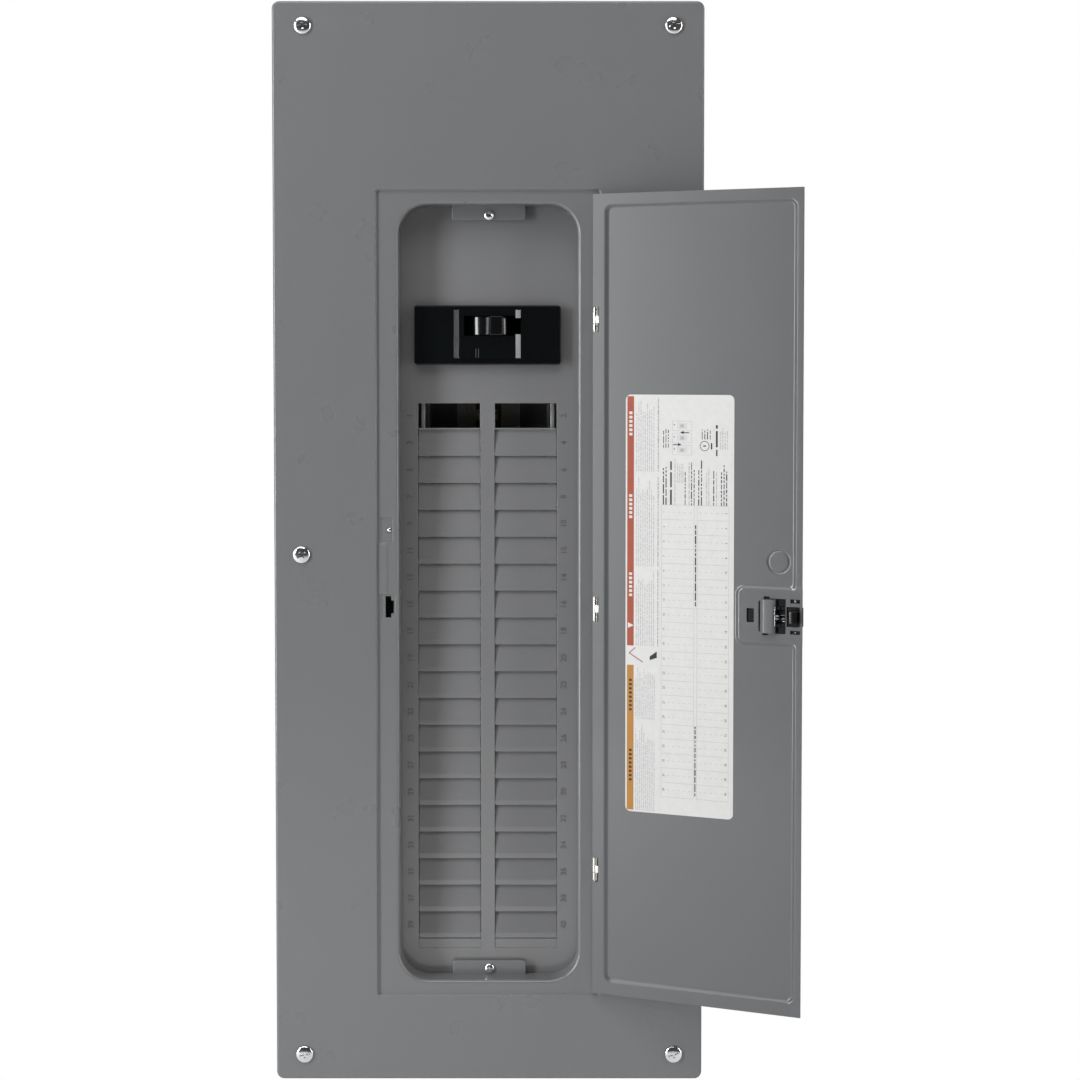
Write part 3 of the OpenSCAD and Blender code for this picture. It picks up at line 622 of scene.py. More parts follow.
@dataclass(frozen=True)
class MetalFinish(Finish):
    """Bare or plated metal with a grain drawn along one axis and small scuffs."""

    rough: float = 0.3
    grain: tuple = (1, 1, 12)
    depth: float = 0.05
    dull: float = 0.82
    stain_scale: float = 60
    grain_scale: float = 500

    def build(self, graph: Graph) -> bpy.types.Material:
        """Build the metal's nodes.

        Args:
            graph: The nodes to build in.

        Returns:
            The material.
        """
        stain = graph.spread(graph.noise(self.stain_scale, 4), 0, 1, 0.15, 0.85)
        graph.feed("Base Color", graph.tint(stain, scaled(self.colour, self.dull), self.colour))
        grain = graph.noise(self.grain_scale, 3, self.grain)
        graph.feed("Roughness", graph.spread(grain, self.rough - 0.07, self.rough + 0.1))
        graph.feed("Normal", graph.bump(grain, self.depth, 0.0001))
        graph.set(Metallic=1.0)
        return graph.material


@dataclass(frozen=True)
class SpangleFinish(Finish):
    """Hot-dip zinc, in broken crystals that each catch the light their own way."""

    crystal: float = 160

    def build(self, graph: Graph) -> bpy.types.Material:
        """Build the zinc's nodes.

        Args:
            graph: The nodes to build in.

        Returns:
            The material.
        """
        flake = graph.cells(self.crystal)
        graph.feed("Base Color", graph.tint(flake, scaled(self.colour, 0.72), scaled(self.colour, 1.1)))
        graph.feed("Roughness", graph.spread(flake, 0.30, 0.52, 0, 1))
        graph.feed("Normal", graph.bump(graph.noise(240, 3), 0.06, 0.0002))
        graph.set(Metallic=1.0)
        return graph.material


@dataclass(frozen=True)
class MouldedFinish(Finish):
    """Moulded plastic: flow clouds under the surface, a fine skin and uneven gloss."""

    gloss: float = 0.3
    skin: float = 0.12
    flow_scale: float = 22
    rub_scale: float = 75
    skin_scale: float = 900

    def build(self, graph: Graph) -> bpy.types.Material:
        """Build the plastic's nodes.

        Args:
            graph: The nodes to build in.

        Returns:
            The material.
        """
        flow = graph.spread(graph.noise(self.flow_scale, 3, (1, 1, 0.4)), 0, 1, 0.15, 0.85)
        graph.feed("Base Color", graph.tint(flow, scaled(self.colour, 0.8), scaled(self.colour, 1.25)))
        rub = graph.noise(self.rub_scale, 3)
        graph.feed("Roughness", graph.spread(rub, self.gloss - 0.03, self.gloss + 0.05, 0.15, 0.85))
        graph.feed("Normal", graph.bump(graph.noise(self.skin_scale), self.skin, 0.00008))
        graph.set(Specular_IOR_Level=0.5)
        return graph.material


@dataclass(frozen=True)
class FilmFinish(Finish):
    """Printed film or the ink on it: a satin face with a faint mottle."""

    gloss: float = 0.42
    mottle_scale: float = 180
    rub_scale: float = 45
    wave_scale: float = 55

    def build(self, graph: Graph) -> bpy.types.Material:
        """Build the film's nodes.

        Args:
            graph: The nodes to build in.

        Returns:
            The material.
        """
        mottle = graph.spread(graph.noise(self.mottle_scale, 4), 0, 1, 0.15, 0.85)
        graph.feed("Base Color", graph.tint(mottle, scaled(self.colour, 0.94), scaled(self.colour, 1.03)))
        rub = graph.noise(self.rub_scale)
        graph.feed("Roughness", graph.spread(rub, self.gloss - 0.05, self.gloss + 0.08))
        graph.feed("Normal", graph.bump(graph.noise(self.wave_scale), 0.08, 0.0004))
        graph.set(Specular_IOR_Level=0.16)
        return graph.material


@dataclass(frozen=True)
class FloorFinish(Finish):
    """A pale matt floor with the faintest cloud."""

    def build(self, graph: Graph) -> bpy.types.Material:
        """Build the floor's nodes.

        Args:
            graph: The nodes to build in.

        Returns:
            The material.
        """
        cloud = graph.spread(graph.noise(1.5, 3), 0, 1)
        graph.feed("Base Color", graph.tint(cloud, scaled(self.colour, 0.985), self.colour))
        graph.feed("Roughness", graph.spread(graph.noise(40, 2), 0.75, 0.85))
        return graph.material


CUTTER_FINISH = Finish("cutter", (1, 0, 1))
COVER_PAINT = PaintFinish("cover_enamel", (0.150, 0.151, 0.154))
BOX_PAINT = PaintFinish("box_enamel", (0.150, 0.151, 0.154), gloss=0.32)
# The door's enamel is the cover's enamel made darker: painted shade for the open door, which gets less of the
# light.
DOOR_SHADED_PAINT = PaintFinish("door_enamel_shaded", (0.100, 0.101, 0.104), gloss=0.34)
DEADFRONT_PAINT = PaintFinish("deadfront_enamel", (0.172, 0.172, 0.174), gloss=0.22, coat=0.6)
# Darker copy of the deadfront enamel for the embossed circuit numbers: painted shade standing in for the shadowed
# outlines of the embossing.
FIGURE_SHADED_PAINT = PaintFinish("figure_enamel_painted_shade", (0.115, 0.115, 0.117), gloss=0.16, coat=0.8)
SCREW_ZINC = MetalFinish("screw_zinc", (0.80, 0.80, 0.80), rough=0.15, grain=(3, 3, 3), dull=0.9)
HINGE_ZINC = MetalFinish("hinge_zinc", (0.70, 0.68, 0.64), rough=0.22, grain=(1, 1, 8))
STRAP_GREY = MetalFinish("strap_grey", (0.12, 0.11, 0.115), rough=0.34, grain=(3, 3, 3))
PIN_CHROME = MetalFinish("pin_chrome", (0.17, 0.20, 0.22), rough=0.10, grain=(3, 3, 3))
GREEN_ZINC = MetalFinish("green_zinc", (0.08, 0.42, 0.15), rough=0.3, grain=(3, 3, 3))
BAR_ALUMINIUM = MetalFinish("bar_aluminium", (0.66, 0.67, 0.68), rough=0.32, grain=(8, 8, 0.6))
# Darkened metal for the bus bars: painted shade for the slots they are seen through, far darker than the bars'
# bare metal.
BUS_BAR_SHADED_METAL = MetalFinish("bus_bar_painted_shade", (0.16, 0.15, 0.13), rough=0.42, grain=(8, 8, 0.6))
COPPER = MetalFinish("rolled_copper", (0.78, 0.42, 0.26), rough=0.28, grain=(8, 8, 0.6))
GALVANISED = SpangleFinish("galvanised_sheet", (0.50, 0.50, 0.49))
CASE_BLACK = MouldedFinish("case_black", (0.0022, 0.0030, 0.0034), gloss=0.13, skin=0.04)
HANDLE_BLACK = MouldedFinish("handle_black", (0.0025, 0.003, 0.0032), gloss=0.14, skin=0.04)
MARK_GREY = MouldedFinish("mark_grey", (0.06, 0.06, 0.06), gloss=0.3)
BUS_BLACK = MouldedFinish("bus_black", (0.012, 0.011, 0.009), gloss=0.38)
NYLON_NATURAL = MouldedFinish("nylon_natural", (0.62, 0.60, 0.54), gloss=0.42)
NYLON_BLACK = MouldedFinish("nylon_black", (0.004, 0.0042, 0.004), gloss=0.2)
PHENOLIC = MouldedFinish("phenolic_brown", (0.10, 0.05, 0.03), gloss=0.4)
FILM_WHITE = FilmFinish("film_white", (0.60, 0.592, 0.580))
INK_RED = FilmFinish("ink_red", (0.33, 0.077, 0.044))
INK_ORANGE = FilmFinish("ink_orange", (0.40, 0.19, 0.042))
INK_BLACK = FilmFinish("ink_black", (0.03, 0.03, 0.032))
INK_GREY = FilmFinish("ink_grey", (0.36, 0.37, 0.37))
INK_PALE = FilmFinish("ink_pale", (0.53, 0.535, 0.53))
FLOOR_PALE = FloorFinish("floor_pale", (0.93, 0.93, 0.93))
# The bus bars take the darkened metal: painted shade in the slots.
NODE_FINISHES = {"bus_bar_a": BUS_BAR_SHADED_METAL, "bus_bar_b": BUS_BAR_SHADED_METAL}

SLOT_FINISHES: dict[str, Finish] = {
    "enclosure_paint": BOX_PAINT,
    "cover_paint": COVER_PAINT,
    "deadfront_paint": DEADFRONT_PAINT,
    "door_paint": DOOR_SHADED_PAINT,
    "galvanised_sheet": GALVANISED,
    "zinc_hinge": HINGE_ZINC,
    "zinc_screw": SCREW_ZINC,
    "green_screw": GREEN_ZINC,
    "aluminium_bar": BAR_ALUMINIUM,
    "copper": COPPER,
    "insulator_black": BUS_BLACK,
    "insulator_natural": NYLON_NATURAL,
    "breaker_case": CASE_BLACK,
    "breaker_handle": HANDLE_BLACK,
    "crossbar_phenolic": PHENOLIC,
    "latch_black": NYLON_BLACK,
    "label_film": FILM_WHITE,
}


# ------------------------------------------------------------------ screws


@dataclass
class DomeScrews:
    """Dome-headed screws with a combined cross and slot recess."""

    head_r: float
    head_h: float
    shank_r: float
    shank_l: float
    tilt: float = 0.2

    def add(self, shape: Shape, x: float, z: float, seat_d: float) -> None:
        """Add one screw.

        Args:
            shape: The shape that takes it.
            x: Its place across.
            z: Its place up.
            seat_d: Depth of the face that its head sits on.
        """
        dome = 9
        profile = [(0.05, -self.shank_l), (self.shank_r * 0.7, -self.shank_l),
                   (self.shank_r, 0.6 - self.shank_l), (self.shank_r, 0),
                   (self.head_r - 0.15, 0), (self.head_r, 0.15), (self.head_r, 0.25 * self.head_h)]
        for i in range(1, dome):
            a = math.pi / 2 * i / dome
            profile.append((self.head_r * math.cos(a), self.head_h * (0.25 + 0.75 * math.sin(a))))
        profile.append((0.05, self.head_h))
        shape.turned(profile, x, z, seat_d)

    def build(self, name: str, places: Sequence[tuple[float, float, float]]) -> bpy.types.Object:
        """Build a set of screws as one piece.

        Args:
            name: The piece's name.
            places: Each screw's x, z and seat depth.

        Returns:
            The piece.
        """
        shape = Shape()
        for x, z, d in places:
            self.add(shape, x, z, d)
        piece = shape.piece(name, SCREW_ZINC)
        for arm in (0, 1):
            cutter = Shape()
            turns = random.Random(11)
            for x, z, d in places:
                self.add_arm(cutter, x, z, d, self.tilt + turns.uniform(-0.5, 0.5), arm)
            carve(piece, cutter)
        return piece

    def add_arm(self, cutter: Shape, x: float, z: float, seat_d: float, turn: float, arm: int) -> None:
        """Add one arm of the recess, long for the slot and short for the cross.

        Args:
            cutter: The shape that takes it.
            x: The screw's place across.
            z: The screw's place up.
            seat_d: Depth of the face that its head sits on.
            turn: How far the recess is turned, in radians.
            arm: 0 for the slot, 1 for the cross.
        """
        reach, half = ((0.62, 0.095), (0.40, 0.13))[arm]
        a = turn + arm * math.pi / 2
        along = Vector((math.cos(a), math.sin(a))) * self.head_r
        aside = Vector((-math.sin(a), math.cos(a))) * self.head_r
        rings = []
        for depth, share in ((seat_d + 0.3 * self.head_h, 0.7), (seat_d + self.head_h + 0.5, 1.15)):
            ring = [along * sx * reach * share + aside * sy * half * share
                    for sx, sy in ((1, 1), (-1, 1), (-1, -1), (1, -1))]
            rings.append([cutter.vert(x + p.x, depth, z + p.y) for p in ring])
        cutter.loft(rings)


# ------------------------------------------------------------------ cover


@dataclass
class TrimCover:
    """The trim cover: a folded outer edge, a recess for the door, and a lip rolled in round the opening."""

    sheet: float = 1.5
    edge: float = 5.0
    bend: float = 2.2
    corner: float = 7.0
    recess: Rect = Rect(-104.2, 103.8, -422, 328.8)
    recess_depth: float = 2.5
    recess_bend: float = 1.1
    opening: Rect = Rect(-83.2, 83, -408.5, 315.6)
    opening_corner: float = 27.0
    lip: float = 28.5
    roll: float = 3.2
    tab_half: float = 34.5
    tab_reach: float = 13.0
    tab_drop: float = 24.0
    hinge_heights: tuple[float, ...] = (209.4, -58.5, -302)
    screw_rows: tuple[Point, ...] = ((170.7, 479), (173.7, -8.6), (172.8, -477.8))
    latch_z: float = -57.5
    hinge_slot: tuple[float, float, float] = (0.5, 2.4, 10.8)
    strike_slot: Rect = Rect(-96, -90.7, -10, 10)
    strike_notch: Rect = Rect(-93, -88.3, -6, 6)
    lock_hole: Point = (-92, 14.1)
    pockets: tuple[Rect, ...] = (Rect(-100.5, -89, 2.4, 25.7), Rect(-100.5, -86.2, -68.3, -45.7))

    def __post_init__(self) -> None:
        """Take the cover's outline and front face from its CAD node."""
        self.outline, depths = box_of("cover_panel")
        self.front = depths[1]
        self.floor = self.front - self.recess_depth

    def arc(self, start: float, end: float, steps: int = 5) -> Iterable[tuple[float, float]]:
        """Walk an arc, giving the sine and cosine of each step."""
        for i in range(steps + 1):
            a = start + (end - start) * i / steps
            yield math.sin(a), math.cos(a)

    def stations(self) -> list[tuple[Rect, float, float]]:
        """Give the loops round the folded sheet, from its outer edge over the front and back behind.

        Returns:
            Each loop's rectangle, corner radius and depth.
        """
        quarter = math.pi / 2
        loops: list[tuple[Rect, float, float]] = []

        def loop(rect: Rect, corner: float, grow: float, depth: float) -> None:
            """Add one loop of a rectangle grown by an amount."""
            loops.append((rect.grown(grow), max(corner + grow, 0.05), depth))

        front, floor = self.front, self.floor
        loop(self.outline, self.corner, 0, front - self.edge)
        for sin, cos in self.arc(0, quarter):
            loop(self.outline, self.corner, -self.bend * (1 - cos), front - self.bend * (1 - sin))
        bend = self.recess_bend
        for sin, cos in self.arc(0, quarter, 4):
            loop(self.recess, 3.0, bend * (1 - sin), front - bend * (1 - cos))
        for sin, cos in self.arc(0, quarter, 4):
            loop(self.recess, 3.0, -bend * (1 - cos), floor + bend * (1 - sin))
        for sin, cos in self.arc(0, quarter, 8):
            loop(self.opening, self.opening_corner, self.roll * (1 - sin), floor - self.roll * (1 - cos))
        end = front - self.lip
        loop(self.opening, self.opening_corner, 0, end)
        loop(self.opening, self.opening_corner, self.sheet, end)
        inner = self.roll - self.sheet
        for sin, cos in self.arc(quarter, 0, 5):
            loop(self.opening, self.opening_corner, self.roll - inner * sin,
                 floor - self.roll + inner * cos)
        loop(self.recess, 3.0, self.sheet * 0.4, floor - self.sheet)
        loop(self.recess, 3.0, self.sheet, floor - self.sheet * 0.6)
        loop(self.recess, 3.0, self.sheet, front - self.sheet - 0.2)
        loop(self.recess, 3.0, self.sheet + 0.2, front - self.sheet)
        inner = self.bend - self.sheet
        for sin, cos in self.arc(quarter, 0, 3):
            loop(self.outline, self.corner, -self.bend + inner * cos, front - self.bend + inner * sin)
        loop(self.outline, self.corner, -self.sheet, front - self.edge)
        return loops

    def cuts(self) -> list[Shape]:
        """Give what is cut from the cover: hinge slots, the strike and the screw holes."""
        behind, above = self.floor - self.sheet - 1, self.floor + 1
        slots, notch, lock, pockets = Shape(), Shape(), Shape(), Shape()
        near, far, half = self.hinge_slot
        for z in self.hinge_heights:
            slots.block((HINGE_X + near, HINGE_X + far), (behind, above), (z - half, z + half))
        for shape, cut in ((slots, self.strike_slot), (notch, self.strike_notch)):
            shape.block((cut.left, cut.right), (behind, above),
                        (self.latch_z + cut.bottom, self.latch_z + cut.top))
        lock.turned([(2.5, 0), (2.5, 4)], *self.lock_hole, behind - 0.2, 28)
        for pocket in self.pockets:
            rings = [pockets.ring(pocket.grown(grow).outline(1.2 + grow, 4), depth)
                     for grow, depth in ((-0.7, self.floor - 0.8), (-0.45, self.floor - 0.65),
                                         (0.1, self.floor), (0.9, self.floor + 0.6))]
            pockets.loft(rings)
        holes = Shape()
        for x, z in self.screw_rows:
            for side in (-1, 1):
                holes.turned([(2.5, 0), (2.5, 6)], side * x, z, self.front - 4, 24)
        return [pockets, slots, notch, lock, holes]

    def build_panel(self) -> bpy.types.Object:
        """Build the folded sheet with everything cut in it.

        Returns:
            The piece, on its body.
        """
        shape = Shape()
        shape.loft([shape.ring(rect.outline(corner), depth) for rect, corner, depth in self.stations()],
                   closed=True)
        panel = shape.piece("trim_cover", COVER_PAINT)
        for cutter in self.cuts():
            carve(panel, cutter)
        steady_shading(panel)
        return seat(panel, "enclosure", "cover_paint", "cover_panel", "lip_left", "lip_right", "lip_top",
                    "lip_bottom")

    def build_strike(self) -> bpy.types.Object:
        """Build the low rib between the strike's two pockets.

        Returns:
            The piece, on its body.
        """
        shape = Shape()
        rib = Rect(-103.6, -93.4, -45.2, 1.9)
        rings = [shape.ring(rib.grown(grow).outline(1.4 + grow, 5), self.floor + rise)
                 for grow, rise in ((0.1, -0.2), (0, 0.0), (-0.35, 0.12), (-0.8, 0.36), (-1.2, 0.45))]
        shape.loft(rings)
        rib_piece = shape.piece("strike_rib", COVER_PAINT)
        steady_shading(rib_piece)
        return seat(rib_piece, "enclosure", "cover_paint")

    def build_rivet(self) -> bpy.types.Object:
        """Build the rivet in the strike's upper pocket.

        Returns:
            The piece, on its body.
        """
        shape = Shape()
        shape.turned([(1.2, -3.0), (1.2, -0.6), (1.8, -0.6), (1.75, -0.2), (1.2, 0.15), (0.1, 0.3)],
                     *self.lock_hole, self.floor - 0.8, 28)
        return seat(shape.piece("strike_rivet", SCREW_ZINC), "enclosure", "zinc_screw")

    def build_tabs(self) -> bpy.types.Object:
        """Build the two tabs that hold the deadfront, each bent in from the lip.

        Returns:
            The piece, on its body.
        """
        shape, holes = Shape(), Shape()
        depth = self.front - self.tab_drop
        for side, wall in ((1, self.opening.top), (-1, self.opening.bottom)):
            tip = wall - side * self.tab_reach
            root = wall + side * 0.9
            shape.plate(Rect(-self.tab_half, self.tab_half, min(tip, root), max(tip, root)), 2.6,
                        (depth - self.sheet, depth + 0.3), 0.8, 5)
            shape.plate(Rect(-self.tab_half, self.tab_half, min(wall + side * 0.9, wall + side * 1.4),
                             max(wall + side * 0.9, wall + side * 1.4)), 0.2,
                        (depth - 1.4, depth + 2.5), 0.1)
        for z in self.tab_screws():
            holes.turned([(2.6, 0), (2.6, 5)], 0, z, depth - 3, 24)
        tabs = shape.piece("cover_tabs", COVER_PAINT)
        carve(tabs, holes)
        steady_shading(tabs)
        return seat(tabs, "enclosure", "cover_paint", "deadfront_tabs")

    def tab_screws(self) -> tuple[float, float]:
        """Give the heights of the two screws that hold the deadfront."""
        box, _ = box_of("deadfront_screws")
        head = 4.7
        return box.top - head, box.bottom + head

    def build(self) -> None:
        """Build the cover and its screws."""
        self.build_panel()
        self.build_strike()
        self.build_rivet()
        self.build_tabs()
        seat_d = self.front + 0.1
        places = [(side * x, z, seat_d) for x, z in self.screw_rows for side in (-1, 1)]
        screws = DomeScrews(head_r=8, head_h=3.2, shank_r=2, shank_l=12).build("trim_screws", places)
        seat(screws, "enclosure", "zinc_screw", "cover_screws")
        places = [(0, z, self.front - self.tab_drop + 0.1) for z in self.tab_screws()]
        screws = DomeScrews(head_r=4.7, head_h=3, shank_r=2.1, shank_l=16).build("tab_screws", places)
        seat(screws, "enclosure", "zinc_screw", "deadfront_screws")


# ------------------------------------------------------------------ deadfront


@dataclass
class Deadfront:
    """The inner cover: windows for the breakers, and two columns of twist-out plates."""

    sheet: float = 1.2
    rows: int = 20
    pitch: float = 25.4
    row_top: float = 132.6
    centre_x: float = -1.6
    column_in: float = 6.6
    column_w: float = 58.8
    tilt: float = 2.6
    flush_share: float = 0.17
    side_gap: float = 0.45
    nose: Rect = Rect(-70.1, 66.9, 167.8, 223.1)
    figure_h: float = 7.4
    figure_out: float = 0.5

    def __post_init__(self) -> None:
        """Take the sheet's outline and front face from its CAD node."""
        self.outline, depths = box_of("deadfront_plate")
        self.front = depths[1]

    def row_z(self, row: int) -> float:
        """Give the height of a row's middle, counted from the top."""
        return self.row_top - self.pitch * (row + 0.5)

    def columns(self) -> tuple[Span, Span]:
        """Give where the left and the right column run across."""
        far = self.column_in + self.column_w
        return ((self.centre_x - far, self.centre_x - self.column_in),
                (self.centre_x + self.column_in, self.centre_x + far))

    def build_sheet(self) -> bpy.types.Object:
        """Build the sheet with its windows cut.

        Returns:
            The piece, on its body.
        """
        shape = Shape()
        shape.plate(self.outline, 34, (self.front - self.sheet, self.front), 0.2, 2)
        sheet = shape.piece("deadfront_sheet", DEADFRONT_PAINT)
        windows = Shape()
        through = (self.front - self.sheet - 1, self.front + 1)
        windows.plate(self.nose, 2.5, through, 0.05, 1)
        bottom = self.row_top - self.rows * self.pitch - 9.6
        for left, right in self.columns():
            windows.plate(Rect(left, right, bottom, self.row_top - self.pitch), 0.4, through, 0.05, 1)
            middle = self.row_z(0)
            windows.plate(Rect(left + 0.4, right - 0.4, middle - 11.6, middle + 11.6), 0.5, through, 0.05, 1)
        carve(sheet, windows)
        holes = Shape()
        for z in TrimCover().tab_screws():
            holes.turned([(2.2, 0), (2.2, 5)], 0, z, self.front - 3, 24)
        carve(sheet, holes)
        round_edges(sheet, 0.22, 50)
        return seat(sheet, "enclosure", "deadfront_paint", "deadfront_plate")

    def plate_section(self, row: int) -> list[Point]:
        """Give one twist-out's section: sunk at its top, flush along its bottom.

        Args:
            row: The row, counted from the top.

        Returns:
            Points of (depth, z) round the section.
        """
        top = self.row_z(row) + self.pitch / 2 - 0.25
        bottom = self.row_z(row) - self.pitch / 2 + 0.15
        knee = bottom + self.pitch * self.flush_share
        face = self.front - 0.12
        outer = [(face - self.tilt, top), (face - 0.12, knee + 0.8), (face, knee), (face, bottom)]
        return outer + [(d - self.sheet, z) for d, z in reversed(outer)]

    def build_twistouts(self) -> bpy.types.Object:
        """Build every twist-out that is still in place.

        Returns:
            The piece, on its body.
        """
        shape = Shape()
        for left, right in self.columns():
            for row in range(1, self.rows):
                shape.prism(self.plate_section(row), (left + self.side_gap, right - self.side_gap), 0.28)
            lowest = self.row_z(self.rows - 1) - self.pitch / 2
            shape.block((left + 0.2, right - 0.2), (self.front - self.sheet - 0.5, self.front - 0.5),
                        (lowest - 9.4, lowest - 0.6), 0.3)
        plates = shape.piece("twist_outs", DEADFRONT_PAINT)
        steady_shading(plates)
        return seat(plates, "enclosure", "deadfront_paint")

    def build_ties(self) -> bpy.types.Object:
        """Build the small bridges of metal that each twist-out breaks off at.

        Returns:
            The piece, on its body.
        """
        shape = Shape()
        back = (self.front - self.sheet - 0.1, self.front - 0.35)
        for left, right in self.columns():
            for row in range(1, self.rows):
                z = self.row_z(row) - self.pitch / 2 + 2.6
                for x in (left, right):
                    shape.block((x - 0.6, x + 0.6), back, (z - 0.9, z + 0.9), 0.15)
        return seat(shape.piece("twist_out_ties", DEADFRONT_PAINT), "enclosure", "deadfront_paint")

    def build_figures(self) -> bpy.types.Object:
        """Build the circuit numbers embossed beside the columns, turned to read upwards.

        Returns:
            The piece, on its body.
        """
        shape = Shape()
        columns = self.columns()
        for row in range(self.rows):
            for number, x in ((2 * row + 1, columns[0][0] - 7.3), (2 * row + 2, columns[1][1] + 6.2)):
                z = self.row_z(row)
                shape.lettering(str(number), self.figure_h, self.figure_out,
                                lambda p, x=x, z=z: Vector((x - p.y, self.front + p.z, z + p.x)))
        # The numbers are in the darker copy of the deadfront enamel: painted shade for their embossed outlines.
        return seat(shape.piece("circuit_numbers", FIGURE_SHADED_PAINT), "enclosure", "deadfront_paint")

    def build(self) -> None:
        """Build the deadfront."""
        self.build_sheet()
        self.build_twistouts()
        self.build_ties()
        self.build_figures()


# ------------------------------------------------------------------ door


@dataclass(frozen=True)
class Step:
    """A step pressed in the door's sheet, with its outline on the door."""

    outline: Rect
    corner: float
    rise: float
    run: float


@dataclass
class DoorLeaf:
    """The door: one sheet with a raised field, a latch pad, a lock knockout and notches for the hinges."""

    sheet: float = 1.2
    back: float = 94.7
    outline: Rect = Rect(-0.9, 202, -418.3, 324.5)
    field: Step = Step(Rect(12.4, 194.6, -405.0, 313.1), 6.0, 2.0, 4.0)
    pad: Rect = Rect(140.5, 230, -83.0, -32.5)
    pad_corner: float = 6.5
    pad_rise: float = 0.5
    pad_run: float = 4.6
    blend: float = 5.0
    lock: Point = (179.2, -8.6)
    lock_r: float = 9.9
    hinge_heights: tuple[float, ...] = (209.4, -58.5, -302)
    notch_half: float = 11.4
    notch_reach: float = 4.8
    latch_z: float = -57.5
    latch_holes: tuple[Rect, ...] = (
        Rect(149.7, 156.4, -6.2, 6.2), Rect(161.0, 162.2, -14.2, 13.2), Rect(172.0, 186.3, -15.6, 15.6),
        Rect(187.3, 199.6, -8.9, 8.9), Rect(190.9, 199.8, -15.7, -12.3), Rect(190.9, 199.8, 12.3, 15.7),
        Rect(165.8, 171.4, 15.3, 17.5), Rect(164.8, 169.8, -17.3, -15.3))

    def holes(self) -> list[Rect]:
        """Give the holes through the sheet, and the hinge notches in its edge."""
        notches = [Rect(self.outline.left, self.notch_reach, h - self.notch_half, h + self.notch_half)
                   for h in self.hinge_heights]
        return notches + [Rect(h.left, h.right, self.latch_z + h.bottom, self.latch_z + h.top)
                          for h in self.latch_holes]

    def back_depth(self, s: float, z: float) -> float:
        """Give the depth of the sheet's inner face.

        Args:
            s: Distance from the hinge pin.
            z: Height.

        Returns:
            The depth with the door shut.
        """
        away = math.hypot(s - self.lock[0], z - self.lock[1]) - self.lock_r
        score = 0.75 * math.exp(-((away / 0.75) ** 2))
        in_field = self.field.outline.inside(s, z, self.field.corner)
        off_pad = -self.pad.inside(s, z, self.pad_corner)
        near = max(self.blend - abs(in_field - off_pad), 0) / self.blend
        inside = min(in_field, off_pad) - near * near * self.blend / 4
        share = min(1.0, max(0.0, inside / (self.field.run if in_field < off_pad else self.pad_run) + 0.5))
        floor = self.pad_rise * min(1.0, max(0.0, 0.5 - off_pad / self.pad_run))
        return self.back + floor + (self.field.rise - floor) * share * share * (3 - 2 * share) + score

    def grid(self, low: float, high: float, fine: Sequence[tuple[float, float, float]],
             edges: Iterable[float]) -> list[float]:
        """Lay out grid lines, close together where the sheet bends.

        Args:
            low: First line.
            high: Last line.
            fine: Stretches of close lines, each as (start, end, spacing).
            edges: Lines that have to be there.

        Returns:
            The lines in order.
        """
        lines = {round(low, 3), round(high, 3)} | {round(e, 3) for e in edges if low <= e <= high}
        coarse = low
        while coarse < high:
            lines.add(round(coarse, 3))
            coarse += 12
        for start, end, spacing in fine:
            lines = {v for v in lines if v <= start or v >= end} | {round(e, 3) for e in edges
                                                                    if low <= e <= high}
            at = max(start, low)
            while at < min(end, high):
                lines.add(round(at, 3))
                at += spacing
        kept: list[float] = []
        forced = {round(e, 3) for e in edges} | {round(low, 3), round(high, 3)}
        for v in sorted(lines):
            if kept and v - kept[-1] < 0.12:
                if v in forced:
                    kept[-1] = v
                continue
            kept.append(v)
        return kept

    def build_sheet(self) -> bpy.types.Object:
        """Build the pressed sheet as a closed skin over a grid.

        Returns:
            The piece, on its body.
        """
        holes, field, pad = self.holes(), self.field.outline, self.pad
        ring, bend, close = self.lock_r + 1.4, 6.5, 0.5
        across = self.grid(self.outline.left, self.outline.right,
                           [(field.left - 2.2, field.left + 6, close),
                            (pad.left - bend, pad.left + bend, close),
                            (self.lock[0] - ring, self.lock[0] + ring, 0.55),
                            (182.5, field.right + 2.4, close)],
                           [e for h in holes for e in (h.left, h.right)])
        up = self.grid(self.outline.bottom, self.outline.top,
                       [(field.bottom - 2.2, field.bottom + bend, close),
                        (field.top - bend, field.top + 2.2, close),
                        (pad.bottom - bend, pad.bottom + bend, close),
                        (pad.top - bend, pad.top + bend, close),
                        (self.lock[1] - ring, self.lock[1] + ring, 0.55)],
                       [e for h in holes for e in (h.bottom, h.top)])
        shape = Shape()
        depth = {(i, k): self.back_depth(s, z) for i, s in enumerate(across) for k, z in enumerate(up)}
        inner = {key: shape.vert(HINGE_X - across[key[0]], d, up[key[1]]) for key, d in depth.items()}
        outer = {key: shape.vert(HINGE_X - across[key[0]], d + self.sheet, up[key[1]])
                 for key, d in depth.items()}

        def solid(i: int, k: int) -> bool:
            """Tell whether a cell of the grid is metal.

            Args:
                i: Its column.
                k: Its row.

            Returns:
                True if no hole takes it.
            """
            if not (0 <= i < len(across) - 1 and 0 <= k < len(up) - 1):
                return False
            s, z = (across[i] + across[i + 1]) / 2, (up[k] + up[k + 1]) / 2
            return not any(h.left < s < h.right and h.bottom < z < h.top for h in holes)

